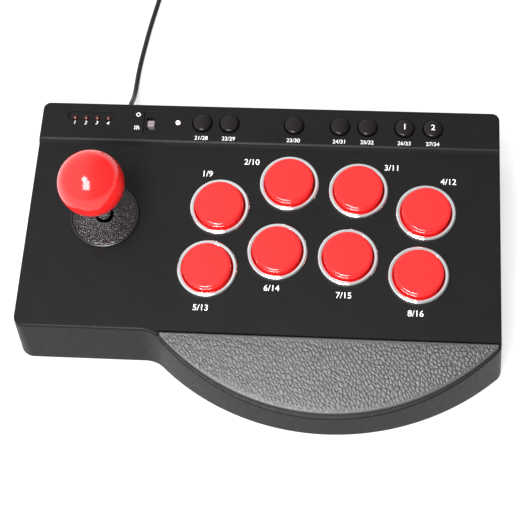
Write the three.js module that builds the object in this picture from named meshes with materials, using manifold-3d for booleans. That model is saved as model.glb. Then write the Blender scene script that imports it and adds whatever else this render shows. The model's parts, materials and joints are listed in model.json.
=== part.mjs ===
// Arcade joystick panel: a home fighting stick with a ball-top lever, eight buttons and a hand rest.
// Millimetres, +X to the player's right, +Y to the rear, +Z up. The origin is under the middle of the
// object's box (its cord aside), on the surface that the feet stand on.
//
// The sloping top of the case is the deck. Pieces that belong to it are built in the deck's own frame:
// its origin is the middle of the deck's front edge, +Y runs up the slope and +Z stands square to it.
import * as THREE from "three";
import { mergeVertices } from "three/addons/utils/BufferGeometryUtils.js";
import Module from "manifold-3d";

const wasm = await Module();
wasm.setup();

// ---- General fits ----
const GAP = 0.3; // between two pieces that touch
const WALL = 2.5; // moulded wall of the case

// ---- Case ----
const CASE_WIDTH = 264.4; // across the bottom edge
const BODY_DEPTH = 138.8; // front wall to rear wall along the bottom edge
const FRONT_HEIGHT = 34; // case bottom to the deck's front edge
const DECK_TILT = THREE.MathUtils.degToRad(7);
const DRAFT = 0.075; // how far the side walls lean in for each millimetre of height
const CORNER_RADIUS = 8; // upright corners of the case
const STRIP_DEPTH = 22.8; // raised strip along the rear of the deck
const STRIP_HEIGHT = 2.2;
const STRIP_SLOPE = 2; // run of the slope between the deck and the strip

// ---- Hand rest ----
const REST_PROJECTION = 39.1; // how far the arc stands out from the front wall
const REST_LEFT = 76.6; // from the left wall to where the arc would meet the front wall
const REST_OVERRUN = 1.2; // the arc's chord ends this far past the right wall
const REST_FILLET = 15; // hollow curve between the front wall and the arc
const REST_SLOPE = Math.tan(THREE.MathUtils.degToRad(20));
const REST_STEP = 1; // the rest starts this far below the deck's front edge
const REST_RIM = 1; // rim that is left round the pad
const REST_FLOOR = 4.2; // case thickness under the rest, with the pad's recess in it
const PAD_THICKNESS = 2;
const PAD_RECESS = 1.8;
const PAD_CLEARANCE = 0.4;

// ---- Base, feet and screws ----
const FOOT_HEIGHT = 2.5; // case bottom above the table
const FOOT_RADIUS = 7;
const FOOT_SPACING = 4; // between a foot and the screw head beside it
const PLATE_THICKNESS = 2;
const POST_RADIUS = 3.5;
const POST_INSET = 13.5; // screw posts in from the case's side walls
const SCREW_RADIUS = 1.45;
const SCREW_HEAD_RADIUS = 3;
const SCREW_HEAD_HEIGHT = 1.3;
const SCREW_LENGTH = 10;

// ---- Buttons: the 30 mm snap-in kind ----
const BUTTONS = [
  // Two rows of four that follow the fingers. X from the deck's middle, Y from its front edge.
  { name: "upper_1", x: -23.5, y: 72.3 },
  { name: "upper_2", x: 13.9, y: 87.5 },
  { name: "upper_3", x: 51.9, y: 84.4 },
  { name: "upper_4", x: 88.9, y: 72.3 },
  { name: "lower_1", x: -27.6, y: 35.8 },
  { name: "lower_2", x: 9.6, y: 46.9 },
  { name: "lower_3", x: 47.7, y: 44.9 },
  { name: "lower_4", x: 85.7, y: 36 },
];
const BUTTON_HOLE = 15.15; // radius
const BEZEL_LIP = 1.6; // how far the ring laps over the deck
const BEZEL_HEIGHT = 1.7;
const BEZEL_EDGE = { run: 0.9, drop: 0.6 }; // slope round the ring's outer edge
const BEZEL_DISH = 0.5; // fall of the ring's top towards the cap
const BEZEL_WALL = 1.25;
const SLEEVE_DEPTH = 13.2;
const SLEEVE_FLOOR = 1.2;
const CAP_HEIGHT = 5.9; // top of the cap above the deck
const CAP_EDGE = 1.1;
const CAP_SKIRT = 5; // depth of the cap's skirt below the deck
const CAP_TRAVEL = 2.5;
const STEM_RADIUS = 3;
const STEM_END = 14.6; // end of the stem below the deck

// ---- Small keys on the rear strip ----
const KEYS = [
  { name: "turbo", x: -36.9 },
  { name: "combo", x: -21.6 },
  { name: "home", x: 14.6 },
  { name: "share", x: 40.2 },
  { name: "options", x: 55.5 },
  { name: "left_stick", x: 76.1 },
  { name: "right_stick", x: 91.7 },
];
const KEY_LINE = 11.15; // key centres in from the deck's rear edge
const KEY_RADIUS = 5.2;
const KEY_CLEARANCE = 0.35;
const KEY_HEIGHT = 2; // above the strip
const KEY_SHOULDER = 1; // where the dome begins below the top
const KEY_DOME = { share: 0.7, fall: 0.2 }; // fall of the dome at a share of the radius
const KEY_TRAVEL = 0.8;
const KEY_FLANGE = 1.1; // how much wider the flange under the case is
const KEY_FLANGE_THICKNESS = 1.2;
const KEY_STEM_RADIUS = 2;
const KEY_STEM_LENGTH = 1.8;

// ---- Lamps and mode switch on the rear strip ----
const PLAYER_LAMPS = { first: -109.5, pitch: 6.35, count: 4, behindKeys: 2 };
const LAMP_RADIUS = 1.2;
const LAMP_SLOT_MARGIN = 4; // slot past the outer lamps
const LAMP_SLOT_WIDTH = 5.3;
const LAMP_SLOT_BEHIND = 1.1; // middle of the slot behind the lamps
const LAMP_SLOT_DEPTH = 0.8;
const LAMP_BAR_WIDTH = 4;
const LAMP_BAR_THICKNESS = 2;
const MODE_LAMP_X = -50.7;
const SWITCH_X = -66;
const SWITCH_BEHIND_KEYS = -0.8;
const SWITCH_KNOB = { width: 3.8, length: 3.5, recess: 0.4 };
const SWITCH_TRAVEL = 1.9; // each way from the middle
const SLOT_CLEARANCE = 0.4;
const SWITCH_BODY = { width: 7, length: 12, height: 3.5 };

// ---- Circuit boards ----
const BOARD_THICKNESS = 1.6;
const TACT = { side: 12, height: 3.3, nub: 1.2, nubRadius: 3.3 }; // under the buttons
const KEY_TACT = { side: 6, height: 3, nub: 0.5, nubRadius: 1.7 }; // under the keys
const BOARD_MARGIN = 18; // button board past the outer button centres
const BOARD_POST_INSET = 3.5;
const BOARD_POST_RADIUS = 3;
const KEY_BOARD_WIDTH = 16;

// ---- Lever ----
const LEVER = { x: -86.3, y: 65.1 };
const BALL_RADIUS = 17.5;
const BALL_HEIGHT = 42; // ball centre above the deck
const SHAFT_RADIUS = 4;
const SHAFT_END = 37; // below the deck
const SHAFT_IN_BALL = 11.5; // how far the shaft runs into the ball
const PIVOT_DEPTH = 18;
const LEVER_TILT = THREE.MathUtils.degToRad(9.5); // each way, on both axes
const WASHER_RADIUS = 19.1;
const WASHER_BOTTOM = 1;
const WASHER_THICKNESS = 0.8;
const WASHER_RIM = 1.4; // width of the bead round the edge
const WASHER_BEAD = { rise: 0.4, edge: 0.2 }; // its crest over the face, its outer edge below it
const SHAFT_CLEARANCE = 0.9; // round the shaft in the washer's hole and, fully tilted, in the deck's
const FELT = { bottom: 0.3, thickness: 0.4, width: 4 };
const PIVOT_BLOCK = { wall: 2.5, height: 6 };
const GIMBAL = { clearance: 1.5, wall: 4.5, height: 5 };
const PIN_RADIUS = 1.5;
const PIN_REACH = 5; // gimbal pins past the ring
const MOUNT_SIZE = 52;
const MOUNT_TOP = 7; // below the deck
const MOUNT_THICKNESS = 2;
const MOUNT_LEG = 5;
const MOUNT_EAR = { width: 10, clearance: 1.5, past: 1, below: 3 }; // round the gimbal's pins
const GATE_TOP = 33; // below the deck
const GATE_THICKNESS = 2.5;
// The actuator's heights are depths below the deck, its wall, flange and collar are widths.
const ACTUATOR = { top: 27, flangeEnd: 32.5, noseEnd: 35.2, wall: 1, flange: 4, collar: 2, bevel: 1.5 };
const CLIP = { wall: 1, thickness: 0.8, mouth: 2.4 };
const MICROSWITCH = { length: 20, depth: 10, height: 6.3, nub: 0.4 };
const PLUNGER = { half: 1.5, bottom: 2, top: 4, seat: 1 }; // of a microswitch; seat is its depth inside
const SPRING = { clearance: 1, wire: 0.5, turns: 3 };
const STOP_CLEARANCE = 0.4; // left at full tilt between the lever and what stops or senses it

// ---- Cord ----
const CORD_RADIUS = 1.5;
const CORD_EXIT = { x: -88, z: 16 };
const RELIEF_RADIUS = 3.6; // at the case; it tapers to just over the cord
const RELIEF_COLLAR = 1; // how far its collar laps over the wall
const RELIEF_TIP = 0.6; // wall at its thin end
// The cord's route from the strain relief to the coil: down to the table and away to the rear.
const CORD_ROUTE = [
  [-88, 104.2, 16],
  [-88, 109, 15.2],
  [-88.1, 114, 12.9],
  [-88.2, 119, 9.6],
  [-88.4, 124, 6.4],
  [-88.6, 129.5, 3.8],
  [-88.8, 136, 2.2],
  [-88.8, 144, 1.6],
  [-88.3, 153, 1.6],
  [-87.5, 162, 1.6],
  [-86.6, 171, 1.6],
  [-85.6, 180, 1.6],
  [-84.4, 189, 1.6],
  [-83.1, 198, 1.6],
  [-82, 206, 1.6],
  [-81.6, 213, 1.6],
  [-82.1, 220, 1.6],
];
const COIL = { x: -65, y: 237.5, inner: 10.6, outer: 22.6, height: 13, bottom: 0.1 };
const PLUG = {
  grip: [15.5, 8, 21], // width, thickness and length of the moulded grip
  shell: [12, 4.5, 15], // the metal shell
  neck: 8, // tapered neck at the cord's end
  neckRadius: 3.4,
  lead: 12, // bare cord between the coil and the neck
};

// ---- Detail of the round pieces ----
const ROUND = 16; // sides of the buttons and other main rounds
const SMALL_ROUND = 10;
const JOIN = 0.5; // how far two shapes that are joined run into each other
const PAST = 1; // how far a cutter runs past what it cuts

// ---- Derived places ----
const HALF_WIDTH = CASE_WIDTH / 2;
const REAR_Y = (BODY_DEPTH + REST_PROJECTION) / 2;
const FRONT_Y = REAR_Y - BODY_DEPTH;
const restChord = CASE_WIDTH - REST_LEFT + REST_OVERRUN;
const REST_RADIUS = (restChord ** 2 / 4 + REST_PROJECTION ** 2) / (2 * REST_PROJECTION);
const REST_CENTRE = new THREE.Vector2(
  -HALF_WIDTH + REST_LEFT + restChord / 2,
  FRONT_Y - REST_PROJECTION + REST_RADIUS,
);
const DECK_FRONT = new THREE.Vector3(0, FRONT_Y + DRAFT * FRONT_HEIGHT, FOOT_HEIGHT + FRONT_HEIGHT);
const DECK_LENGTH = deckLength();
const KEY_Y = DECK_LENGTH - KEY_LINE;
const CEILING = DECK_FRONT.z + DECK_LENGTH * Math.sin(DECK_TILT) + 4 * STRIP_HEIGHT; // over the case
const PLATE_TOP = FOOT_HEIGHT + PLATE_THICKNESS;
const BEZEL_RADIUS = BUTTON_HOLE + BEZEL_LIP;
const SLEEVE_RADIUS = BUTTON_HOLE - GAP;
const CAP_RADIUS = SLEEVE_RADIUS - BEZEL_WALL - GAP;
const BOARD_TOP = -(STEM_END + CAP_TRAVEL + GAP + TACT.nub + TACT.height);
const KEY_UNDERSIDE = STRIP_HEIGHT - WALL;
const KEY_STEM_END = KEY_UNDERSIDE - GAP - KEY_FLANGE_THICKNESS - KEY_STEM_LENGTH;
const KEY_BOARD_TOP = KEY_STEM_END - KEY_TRAVEL - GAP - KEY_TACT.nub - KEY_TACT.height;
const SLOT_WIDTH = SWITCH_KNOB.width + 2 * SLOT_CLEARANCE;
const SLOT_LENGTH = SWITCH_KNOB.length + 2 * (SWITCH_TRAVEL + SLOT_CLEARANCE);
const SHAFT_SWAY = PIVOT_DEPTH * Math.tan(LEVER_TILT); // at the deck, along one axis
const DECK_LEVER_HOLE = SHAFT_RADIUS + Math.SQRT2 * SHAFT_SWAY + SHAFT_CLEARANCE;
const WASHER_HOLE = SHAFT_RADIUS + SHAFT_CLEARANCE;
const FELT_INNER = SHAFT_RADIUS + SHAFT_SWAY + SHAFT_CLEARANCE;
const PIVOT_RADIUS = SHAFT_RADIUS + PIVOT_BLOCK.wall;
const GIMBAL_INNER = PIVOT_RADIUS + GIMBAL.clearance;
const GIMBAL_OUTER = GIMBAL_INNER + GIMBAL.wall;
const REST_STEP_X = fillet().end.x;

const root = new THREE.Group();
const deck = new THREE.Group();
deck.position.copy(DECK_FRONT);
deck.rotation.x = DECK_TILT;
deck.updateMatrix();
root.add(deck);

// ---- Materials ----
const paint = (color, roughness, metalness = 0) =>
  new THREE.MeshStandardMaterial({ color, roughness, metalness });
const material = {
  case: paint(0x29292b, 0.5),
  pad: paint(0x8a8680, 0.7),
  red: paint(0xe8352e, 0.25),
  chrome: paint(0xdcdcdc, 0.1, 1),
  steel: paint(0xa8a9ac, 0.35, 1),
  blackPlastic: paint(0x161617, 0.35),
  grey: paint(0x6c6a6c, 0.5),
  lens: paint(0xc03028, 0.2),
  board: paint(0x1d5a34, 0.5),
  felt: paint(0x202022, 0.95),
  rubber: paint(0x141414, 0.85),
  cord: paint(0x101011, 0.55),
};

// ---- Solids ----

/** A closed geometry as a manifold solid, its faces outwards whichever way it was drawn. */
function solid(geometry) {
  const bare = new THREE.BufferGeometry();
  bare.setAttribute("position", geometry.getAttribute("position"));
  if (geometry.index) bare.setIndex(geometry.index);
  const merged = mergeVertices(bare, 1e-4);
  const vertProperties = merged.getAttribute("position").array;
  const triVerts = new Uint32Array(merged.index.array);
  const made = new wasm.Manifold(new wasm.Mesh({ numProp: 3, vertProperties, triVerts }));
  if (made.volume() > 0) return made;
  for (let i = 0; i < triVerts.length; i += 3) {
    [triVerts[i + 1], triVerts[i + 2]] = [triVerts[i + 2], triVerts[i + 1]];
  }
  return new wasm.Manifold(new wasm.Mesh({ numProp: 3, vertProperties, triVerts }));
}

/** A solid as the geometry of a mesh. */
function geometryOf(body) {
  const mesh = body.getMesh();
  const geometry = new THREE.BufferGeometry();
  geometry.setAttribute("position", new THREE.BufferAttribute(mesh.vertProperties, 3));
  geometry.setIndex(new THREE.BufferAttribute(mesh.triVerts, 1));
  geometry.computeVertexNormals();
  return geometry;
}

function addPiece(parent, name, body, finish) {
  const mesh = new THREE.Mesh(geometryOf(body), finish);
  mesh.name = name;
  parent.add(mesh);
  return mesh;
}

const unite = (bodies) => bodies.reduce((all, body) => all.add(body));
const cut = (body, cutters) => cutters.reduce((rest, cutter) => rest.subtract(cutter), body);
/** A solid drawn in the deck's frame, moved to the object's frame. */
const onDeck = (geometry) => solid(geometry.applyMatrix4(deck.matrix));

/** Box geometry between two corners. */
function boxBetween([x0, y0, z0], [x1, y1, z1]) {
  const box = new THREE.BoxGeometry(x1 - x0, y1 - y0, z1 - z0);
  return box.translate((x0 + x1) / 2, (y0 + y1) / 2, (z0 + z1) / 2);
}

/** A turned piece about the upright line through x, y. The profile is a list of [radius, z]. */
function turned(profile, x = 0, y = 0, sides = ROUND) {
  const points = profile.map(([radius, z]) => new THREE.Vector2(radius, z));
  return new THREE.LatheGeometry(points, sides).rotateX(Math.PI / 2).translate(x, y, 0);
}

/** An upright cylinder between two heights. */
function pillar(radius, z0, z1, x = 0, y = 0, sides = SMALL_ROUND) {
  return turned([[0, z0], [radius, z0], [radius, z1], [0, z1]], x, y, sides);
}

/** A flat ring or a tube between two heights, as a closed profile. */
function ringProfile(inner, outer, z0, z1) {
  return [[inner, z0], [outer, z0], [outer, z1], [inner, z1], [inner, z0]];
}

/** A pin along X or Y at height z, from a to b along its axis. */
function pin(axis, radius, a, b, z) {
  const rod = new THREE.CylinderGeometry(radius, radius, b - a, SMALL_ROUND);
  rod.translate(0, (a + b) / 2, 0);
  if (axis === "x") rod.rotateZ(-Math.PI / 2);
  return rod.translate(0, 0, z);
}

// ---- Case outline ----

/** How far up the slope the deck reaches before the leaning rear wall ends it. */
function deckLength() {
  const [c, s] = [Math.cos(DECK_TILT), Math.sin(DECK_TILT)];
  const reach = REAR_Y - DECK_FRONT.y + STRIP_HEIGHT * s;
  return (reach - DRAFT * (FRONT_HEIGHT + STRIP_HEIGHT * c)) / (c + DRAFT * s);
}

/** The hollow fillet between the front wall and the hand rest: its centre and its two ends. */
function fillet() {
  const drop = REST_CENTRE.y - FRONT_Y + REST_FILLET;
  const span = REST_RADIUS + REST_FILLET;
  const centre = new THREE.Vector2(
    REST_CENTRE.x - Math.sqrt(span ** 2 - drop ** 2),
    FRONT_Y - REST_FILLET,
  );
  const toArc = REST_CENTRE.clone().sub(centre).normalize();
  return { centre, toArc, end: toArc.clone().multiplyScalar(REST_FILLET).add(centre) };
}

function arcPoints(centre, radius, from, to, steps) {
  return Array.from({ length: steps + 1 }, (_, i) => {
    const angle = from + ((to - from) * i) / steps;
    return new THREE.Vector2(
      centre.x + radius * Math.cos(angle),
      centre.y + radius * Math.sin(angle),
    );
  });
}

/** The case's plan outline, counter-clockwise, with its walls moved in by an inset. */
function outline(inset) {
  const quarter = Math.PI / 2;
  const corner = Math.max(CORNER_RADIUS - inset, 0.5);
  const [x, rear] = [HALF_WIDTH - inset - corner, REAR_Y - inset - corner];
  const front = FRONT_Y + inset + corner;
  const { centre, toArc } = fillet();
  const radius = REST_RADIUS - inset;
  const endY = REST_CENTRE.y - Math.sqrt((radius - corner) ** 2 - (x - REST_CENTRE.x) ** 2);
  const endAngle = Math.atan2(endY - REST_CENTRE.y, x - REST_CENTRE.x);
  const startAngle = Math.atan2(-toArc.y, -toArc.x);
  return [
    ...arcPoints({ x: -x, y: front }, corner, 2 * quarter, 3 * quarter, 4),
    ...arcPoints(centre, REST_FILLET + inset, quarter, Math.atan2(toArc.y, toArc.x), 5),
    ...arcPoints(REST_CENTRE, radius, startAngle, endAngle, 22).slice(1),
    ...arcPoints({ x, y: endY }, corner, endAngle, 0, 4).slice(1),
    ...arcPoints({ x, y: rear }, corner, 0, quarter, 4),
    ...arcPoints({ x: -x, y: rear }, corner, quarter, 2 * quarter, 4),
  ];
}

/** The solid between two copies of the outline, which leans in with height as the walls do. */
function leaningPrism(z0, z1, inset = 0) {
  const rings = [z0, z1].map((z) => outline(inset + DRAFT * (z - FOOT_HEIGHT)));
  const count = rings[0].length;
  const positions = rings.flatMap((ring, i) => ring.flatMap((p) => [p.x, p.y, [z0, z1][i]]));
  const faces = [0, 1].flatMap((i) =>
    THREE.ShapeUtils.triangulateShape(rings[i], []).flatMap(([a, b, c]) =>
      i ? [a + count, b + count, c + count] : [a, c, b],
    ),
  );
  for (let i = 0; i < count; i++) {
    const next = (i + 1) % count;
    faces.push(i, next, next + count, i, next + count, i + count);
  }
  const geometry = new THREE.BufferGeometry();
  geometry.setAttribute("position", new THREE.Float32BufferAttribute(positions, 3));
  geometry.setIndex(faces);
  return solid(geometry);
}

/** A side view, as [y, z] points, extruded across the object from x0 to x1. */
function sideExtrusion(points, x0, x1) {
  const shape = new THREE.Shape(points.map(([y, z]) => new THREE.Vector2(y, z)));
  const geometry = new THREE.ExtrudeGeometry(shape, { depth: x1 - x0, bevelEnabled: false });
  const turn = new THREE.Matrix4().makeBasis(
    new THREE.Vector3(0, 1, 0),
    new THREE.Vector3(0, 0, 1),
    new THREE.Vector3(1, 0, 0),
  );
  return solid(geometry.applyMatrix4(turn).translate(x0, 0, 0));
}

/** A point of the deck's side view in the object's Y and Z. */
function deckPoint(y, z) {
  const p = new THREE.Vector3(0, y, z).applyMatrix4(deck.matrix);
  return [p.y, p.z];
}

/** Height of the hand rest's plane, drop below it, at a given y. */
const restHeight = (y, drop = 0) =>
  DECK_FRONT.z - REST_STEP + REST_SLOPE * (y - DECK_FRONT.y) - drop;

/** Everything under the top surfaces, lowered by deckDrop and restDrop, back by one wall. */
function underTop(deckDrop, restDrop, back, stepX) {
  const far = BODY_DEPTH + REST_PROJECTION;
  const ridge = DECK_LENGTH - STRIP_DEPTH;
  const deckLine = [
    deckPoint(ridge - STRIP_SLOPE, -deckDrop),
    deckPoint(ridge, STRIP_HEIGHT - deckDrop),
    deckPoint(DECK_LENGTH + 20, STRIP_HEIGHT - deckDrop),
  ];
  const ground = [[far, -1], [-far, -1]];
  const flat = sideExtrusion([...ground, deckPoint(-far, -deckDrop), ...deckLine], -far, stepX);
  const step = DECK_FRONT.y + back;
  const stepped = sideExtrusion(
    [
      ...ground,
      [-far, Math.max(restHeight(-far, restDrop), 0)],
      [DECK_FRONT.y + (FOOT_HEIGHT - restHeight(DECK_FRONT.y, restDrop)) / REST_SLOPE, FOOT_HEIGHT],
      [step, restHeight(step, restDrop)],
      deckPoint(back / Math.cos(DECK_TILT), -deckDrop),
      ...deckLine,
    ],
    stepX,
    far,
  );
  return flat.add(stepped);
}

/** The plan of the hand-rest pad, grown all round by a clearance. */
function padPlan(grow) {
  const inset = DRAFT * (restHeight(FRONT_Y) - FOOT_HEIGHT) + REST_RIM + PAD_CLEARANCE - grow;
  const radius = REST_RADIUS - inset;
  const left = REST_STEP_X + REST_RIM / 2 + PAD_CLEARANCE - grow;
  const right = HALF_WIDTH - inset;
  const rear = DECK_FRONT.y - PAD_CLEARANCE + grow;
  const angleAt = (x) => -Math.acos((x - REST_CENTRE.x) / radius);
  const arc = arcPoints(REST_CENTRE, radius, angleAt(left), angleAt(right), 24);
  return [new THREE.Vector2(left, rear), ...arc, new THREE.Vector2(right, rear)];
}

/** The layer of the pad's plan between two drops below the hand rest's plane. */
function padLayer(grow, lowDrop, highDrop) {
  const shape = new THREE.Shape(padPlan(grow));
  const column = new THREE.ExtrudeGeometry(shape, { depth: DECK_FRONT.z + 10, bevelEnabled: false });
  const far = BODY_DEPTH + REST_PROJECTION;
  const slab = [
    [-far, restHeight(-far, lowDrop)],
    [far, restHeight(far, lowDrop)],
    [far, restHeight(far, highDrop)],
    [-far, restHeight(-far, highDrop)],
  ];
  return solid(column).intersect(sideExtrusion(slab, -far, far));
}

// ---- Screws and posts ----
const screwPlaces = [-1, 1].flatMap((side) => [
  { x: side * (HALF_WIDTH - POST_INSET), y: REAR_Y - POST_INSET },
  { x: side * (HALF_WIDTH - POST_INSET), y: FRONT_Y + POST_INSET },
]);
const buttonSpan = {
  x0: Math.min(...BUTTONS.map((b) => b.x)) - BOARD_MARGIN,
  x1: Math.max(...BUTTONS.map((b) => b.x)) + BOARD_MARGIN,
  y0: Math.min(...BUTTONS.map((b) => b.y)) - BOARD_MARGIN,
  y1: Math.max(...BUTTONS.map((b) => b.y)) + BOARD_MARGIN,
};
const boardPosts = [buttonSpan.x0, buttonSpan.x1].flatMap((x) =>
  [buttonSpan.y0, buttonSpan.y1].map((y) => ({
    x: x + (x < 0 ? BOARD_POST_INSET : -BOARD_POST_INSET),
    y: y + (y < KEY_Y / 2 ? BOARD_POST_INSET : -BOARD_POST_INSET),
  })),
);
const leverPosts = [-1, 1].flatMap((i) =>
  [-1, 1].map((j) => ({
    x: LEVER.x + (i * (MOUNT_SIZE - MOUNT_LEG)) / 2,
    y: LEVER.y + (j * (MOUNT_SIZE - MOUNT_LEG)) / 2,
  })),
);
const playerLampX = Array.from(
  { length: PLAYER_LAMPS.count },
  (_, i) => PLAYER_LAMPS.first + i * PLAYER_LAMPS.pitch,
);
const playerLampY = KEY_Y + PLAYER_LAMPS.behindKeys;
const switchY = KEY_Y + SWITCH_BEHIND_KEYS;

// ---- Case, base and feet ----

function topCase() {
  const outer = leaningPrism(FOOT_HEIGHT, CEILING).intersect(underTop(0, 0, 0, REST_STEP_X));
  const hollow = leaningPrism(FOOT_HEIGHT - PAST, CEILING, WALL);
  const shell = outer.subtract(hollow.intersect(underTop(WALL, REST_FLOOR, WALL, REST_STEP_X + WALL)));
  const reach = STRIP_HEIGHT + GAP;
  const posts = [
    ...screwPlaces.map((p) => solid(pillar(POST_RADIUS, PLATE_TOP + GAP, CEILING, p.x, p.y))),
    ...boardPosts.map((p) => onDeck(pillar(BOARD_POST_RADIUS, BOARD_TOP + GAP, 0, p.x, p.y))),
    ...leverPosts.map((p) => onDeck(pillar(POST_RADIUS, -MOUNT_TOP + GAP, 0, p.x, p.y))),
  ];
  const slotLeft = playerLampX[0] - LAMP_SLOT_MARGIN;
  const slotRight = playerLampX.at(-1) + LAMP_SLOT_MARGIN;
  const slotFront = playerLampY + LAMP_SLOT_BEHIND - LAMP_SLOT_WIDTH / 2;
  const slotFloor = STRIP_HEIGHT - LAMP_SLOT_DEPTH;
  const holes = [
    padLayer(PAD_CLEARANCE, PAD_RECESS, -20),
    ...BUTTONS.map((b) => onDeck(pillar(BUTTON_HOLE, -WALL - PAST, PAST, b.x, b.y, ROUND))),
    ...KEYS.map((k) =>
      onDeck(pillar(KEY_RADIUS + KEY_CLEARANCE, KEY_UNDERSIDE - PAST, reach, k.x, KEY_Y)),
    ),
    onDeck(pillar(DECK_LEVER_HOLE, -WALL - PAST, PAST, LEVER.x, LEVER.y, ROUND)),
    onDeck(
      boxBetween([slotLeft, slotFront, slotFloor], [slotRight, slotFront + LAMP_SLOT_WIDTH, reach]),
    ),
    ...playerLampX.map((x) =>
      onDeck(pillar(LAMP_RADIUS + GAP, KEY_UNDERSIDE - PAST, reach, x, playerLampY)),
    ),
    onDeck(pillar(LAMP_RADIUS + GAP, KEY_UNDERSIDE - PAST, reach, MODE_LAMP_X, KEY_Y)),
    onDeck(
      boxBetween(
        [SWITCH_X - SLOT_WIDTH / 2, switchY - SLOT_LENGTH / 2, KEY_UNDERSIDE - PAST],
        [SWITCH_X + SLOT_WIDTH / 2, switchY + SLOT_LENGTH / 2, reach],
      ),
    ),
    ...screwPlaces.map((p) =>
      solid(pillar(SCREW_RADIUS + GAP, 0, PLATE_TOP + SCREW_LENGTH, p.x, p.y)),
    ),
    cordHole(),
  ];
  return cut(unite([shell, ...posts.map((post) => post.intersect(outer))]), holes);
}

/** The round hole in the rear wall that the strain relief sits in. */
function cordHole() {
  const bore = new THREE.CylinderGeometry(RELIEF_RADIUS, RELIEF_RADIUS, 20, SMALL_ROUND);
  return solid(bore.translate(CORD_EXIT.x, REAR_Y, CORD_EXIT.z));
}

function basePlate() {
  const plate = leaningPrism(FOOT_HEIGHT, PLATE_TOP, WALL + GAP);
  const holes = screwPlaces.map((p) => solid(pillar(SCREW_RADIUS + GAP, 0, PLATE_TOP + PAST, p.x, p.y)));
  return cut(plate, holes);
}

function caseScrew(place) {
  const head = FOOT_HEIGHT - GAP;
  const tip = head + SCREW_LENGTH;
  const profile = [
    [0, head - SCREW_HEAD_HEIGHT],
    [SCREW_HEAD_RADIUS, head - SCREW_HEAD_HEIGHT],
    [SCREW_HEAD_RADIUS, head],
    [SCREW_RADIUS, head],
    [SCREW_RADIUS, tip - SCREW_RADIUS],
    [0, tip],
  ];
  return solid(turned(profile, place.x, place.y, SMALL_ROUND));
}

const footInset = POST_INSET + SCREW_HEAD_RADIUS + FOOT_SPACING + FOOT_RADIUS;
const feet = [
  { name: "foot_rear_left", x: -HALF_WIDTH + footInset, y: REAR_Y - POST_INSET },
  { name: "foot_rear_right", x: HALF_WIDTH - footInset, y: REAR_Y - POST_INSET },
  { name: "foot_front_left", x: -HALF_WIDTH + footInset, y: FRONT_Y + POST_INSET },
  { name: "foot_front_right", x: HALF_WIDTH - footInset, y: FRONT_Y + POST_INSET },
  { name: "foot_hand_rest", x: REST_CENTRE.x, y: FRONT_Y - REST_PROJECTION + 2 * FOOT_RADIUS },
];
const foot = (place) => solid(pillar(FOOT_RADIUS, 0, FOOT_HEIGHT - GAP, place.x, place.y));

addPiece(root, "top_case", topCase(), material.case);
addPiece(root, "base_plate", basePlate(), material.case);
const padBottom = PAD_RECESS - GAP; // below the hand rest's plane
addPiece(root, "hand_rest_pad", padLayer(0, padBottom, padBottom - PAD_THICKNESS), material.pad);
screwPlaces.forEach((place, i) => addPiece(root, `case_screw_${i + 1}`, caseScrew(place), material.steel));
feet.forEach((place) => addPiece(root, place.name, foot(place), material.rubber));

// ---- Buttons ----

function bezel({ x, y }) {
  const bore = SLEEVE_RADIUS - BEZEL_WALL;
  const floor = -SLEEVE_DEPTH + SLEEVE_FLOOR;
  const guide = STEM_RADIUS + GAP;
  const profile = [
    [guide, -SLEEVE_DEPTH],
    [SLEEVE_RADIUS, -SLEEVE_DEPTH],
    [SLEEVE_RADIUS, GAP],
    [BEZEL_RADIUS, GAP],
    [BEZEL_RADIUS, BEZEL_HEIGHT - BEZEL_EDGE.drop],
    [BEZEL_RADIUS - BEZEL_EDGE.run, BEZEL_HEIGHT],
    [bore, BEZEL_HEIGHT - BEZEL_DISH],
    [bore, floor],
    [guide, floor],
    [guide, -SLEEVE_DEPTH],
  ];
  return solid(turned(profile, x, y));
}

function cap({ x, y }) {
  const profile = [
    [0, -STEM_END],
    [STEM_RADIUS, -STEM_END],
    [STEM_RADIUS, -CAP_SKIRT],
    [CAP_RADIUS, -CAP_SKIRT],
    [CAP_RADIUS, CAP_HEIGHT - CAP_EDGE],
    [CAP_RADIUS - CAP_EDGE, CAP_HEIGHT],
    [0, CAP_HEIGHT],
  ];
  return solid(turned(profile, x, y));
}

function tactSwitch(x, y, { side, height, nub, nubRadius }, boardTop) {
  const half = side / 2;
  const top = boardTop + height;
  const body = solid(boxBetween([x - half, y - half, boardTop - JOIN], [x + half, y + half, top]));
  return body.add(solid(pillar(nubRadius, boardTop, top + nub, x, y)));
}

function buttonBoard() {
  const { x0, x1, y0, y1 } = buttonSpan;
  const board = solid(boxBetween([x0, y0, BOARD_TOP - BOARD_THICKNESS], [x1, y1, BOARD_TOP]));
  const switches = BUTTONS.map((b) => tactSwitch(b.x, b.y, TACT, BOARD_TOP));
  return unite([board, ...switches]);
}

BUTTONS.forEach((button) => {
  addPiece(deck, `button_bezel_${button.name}`, bezel(button), material.chrome);
  addPiece(deck, `button_cap_${button.name}`, cap(button), material.red);
});
addPiece(deck, "button_board", buttonBoard(), material.board);

// ---- Rear strip: keys, lamps, mode switch and their board ----

function key({ x }) {
  const top = STRIP_HEIGHT + KEY_HEIGHT;
  const flangeTop = KEY_UNDERSIDE - GAP;
  const flange = KEY_RADIUS + KEY_FLANGE;
  const profile = [
    [0, KEY_STEM_END],
    [KEY_STEM_RADIUS, KEY_STEM_END],
    [KEY_STEM_RADIUS, flangeTop - KEY_FLANGE_THICKNESS],
    [flange, flangeTop - KEY_FLANGE_THICKNESS],
    [flange, flangeTop],
    [KEY_RADIUS, flangeTop],
    [KEY_RADIUS, top - KEY_SHOULDER],
    [KEY_RADIUS * KEY_DOME.share, top - KEY_DOME.fall],
    [0, top],
  ];
  return solid(turned(profile, x, KEY_Y, SMALL_ROUND));
}

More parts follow.
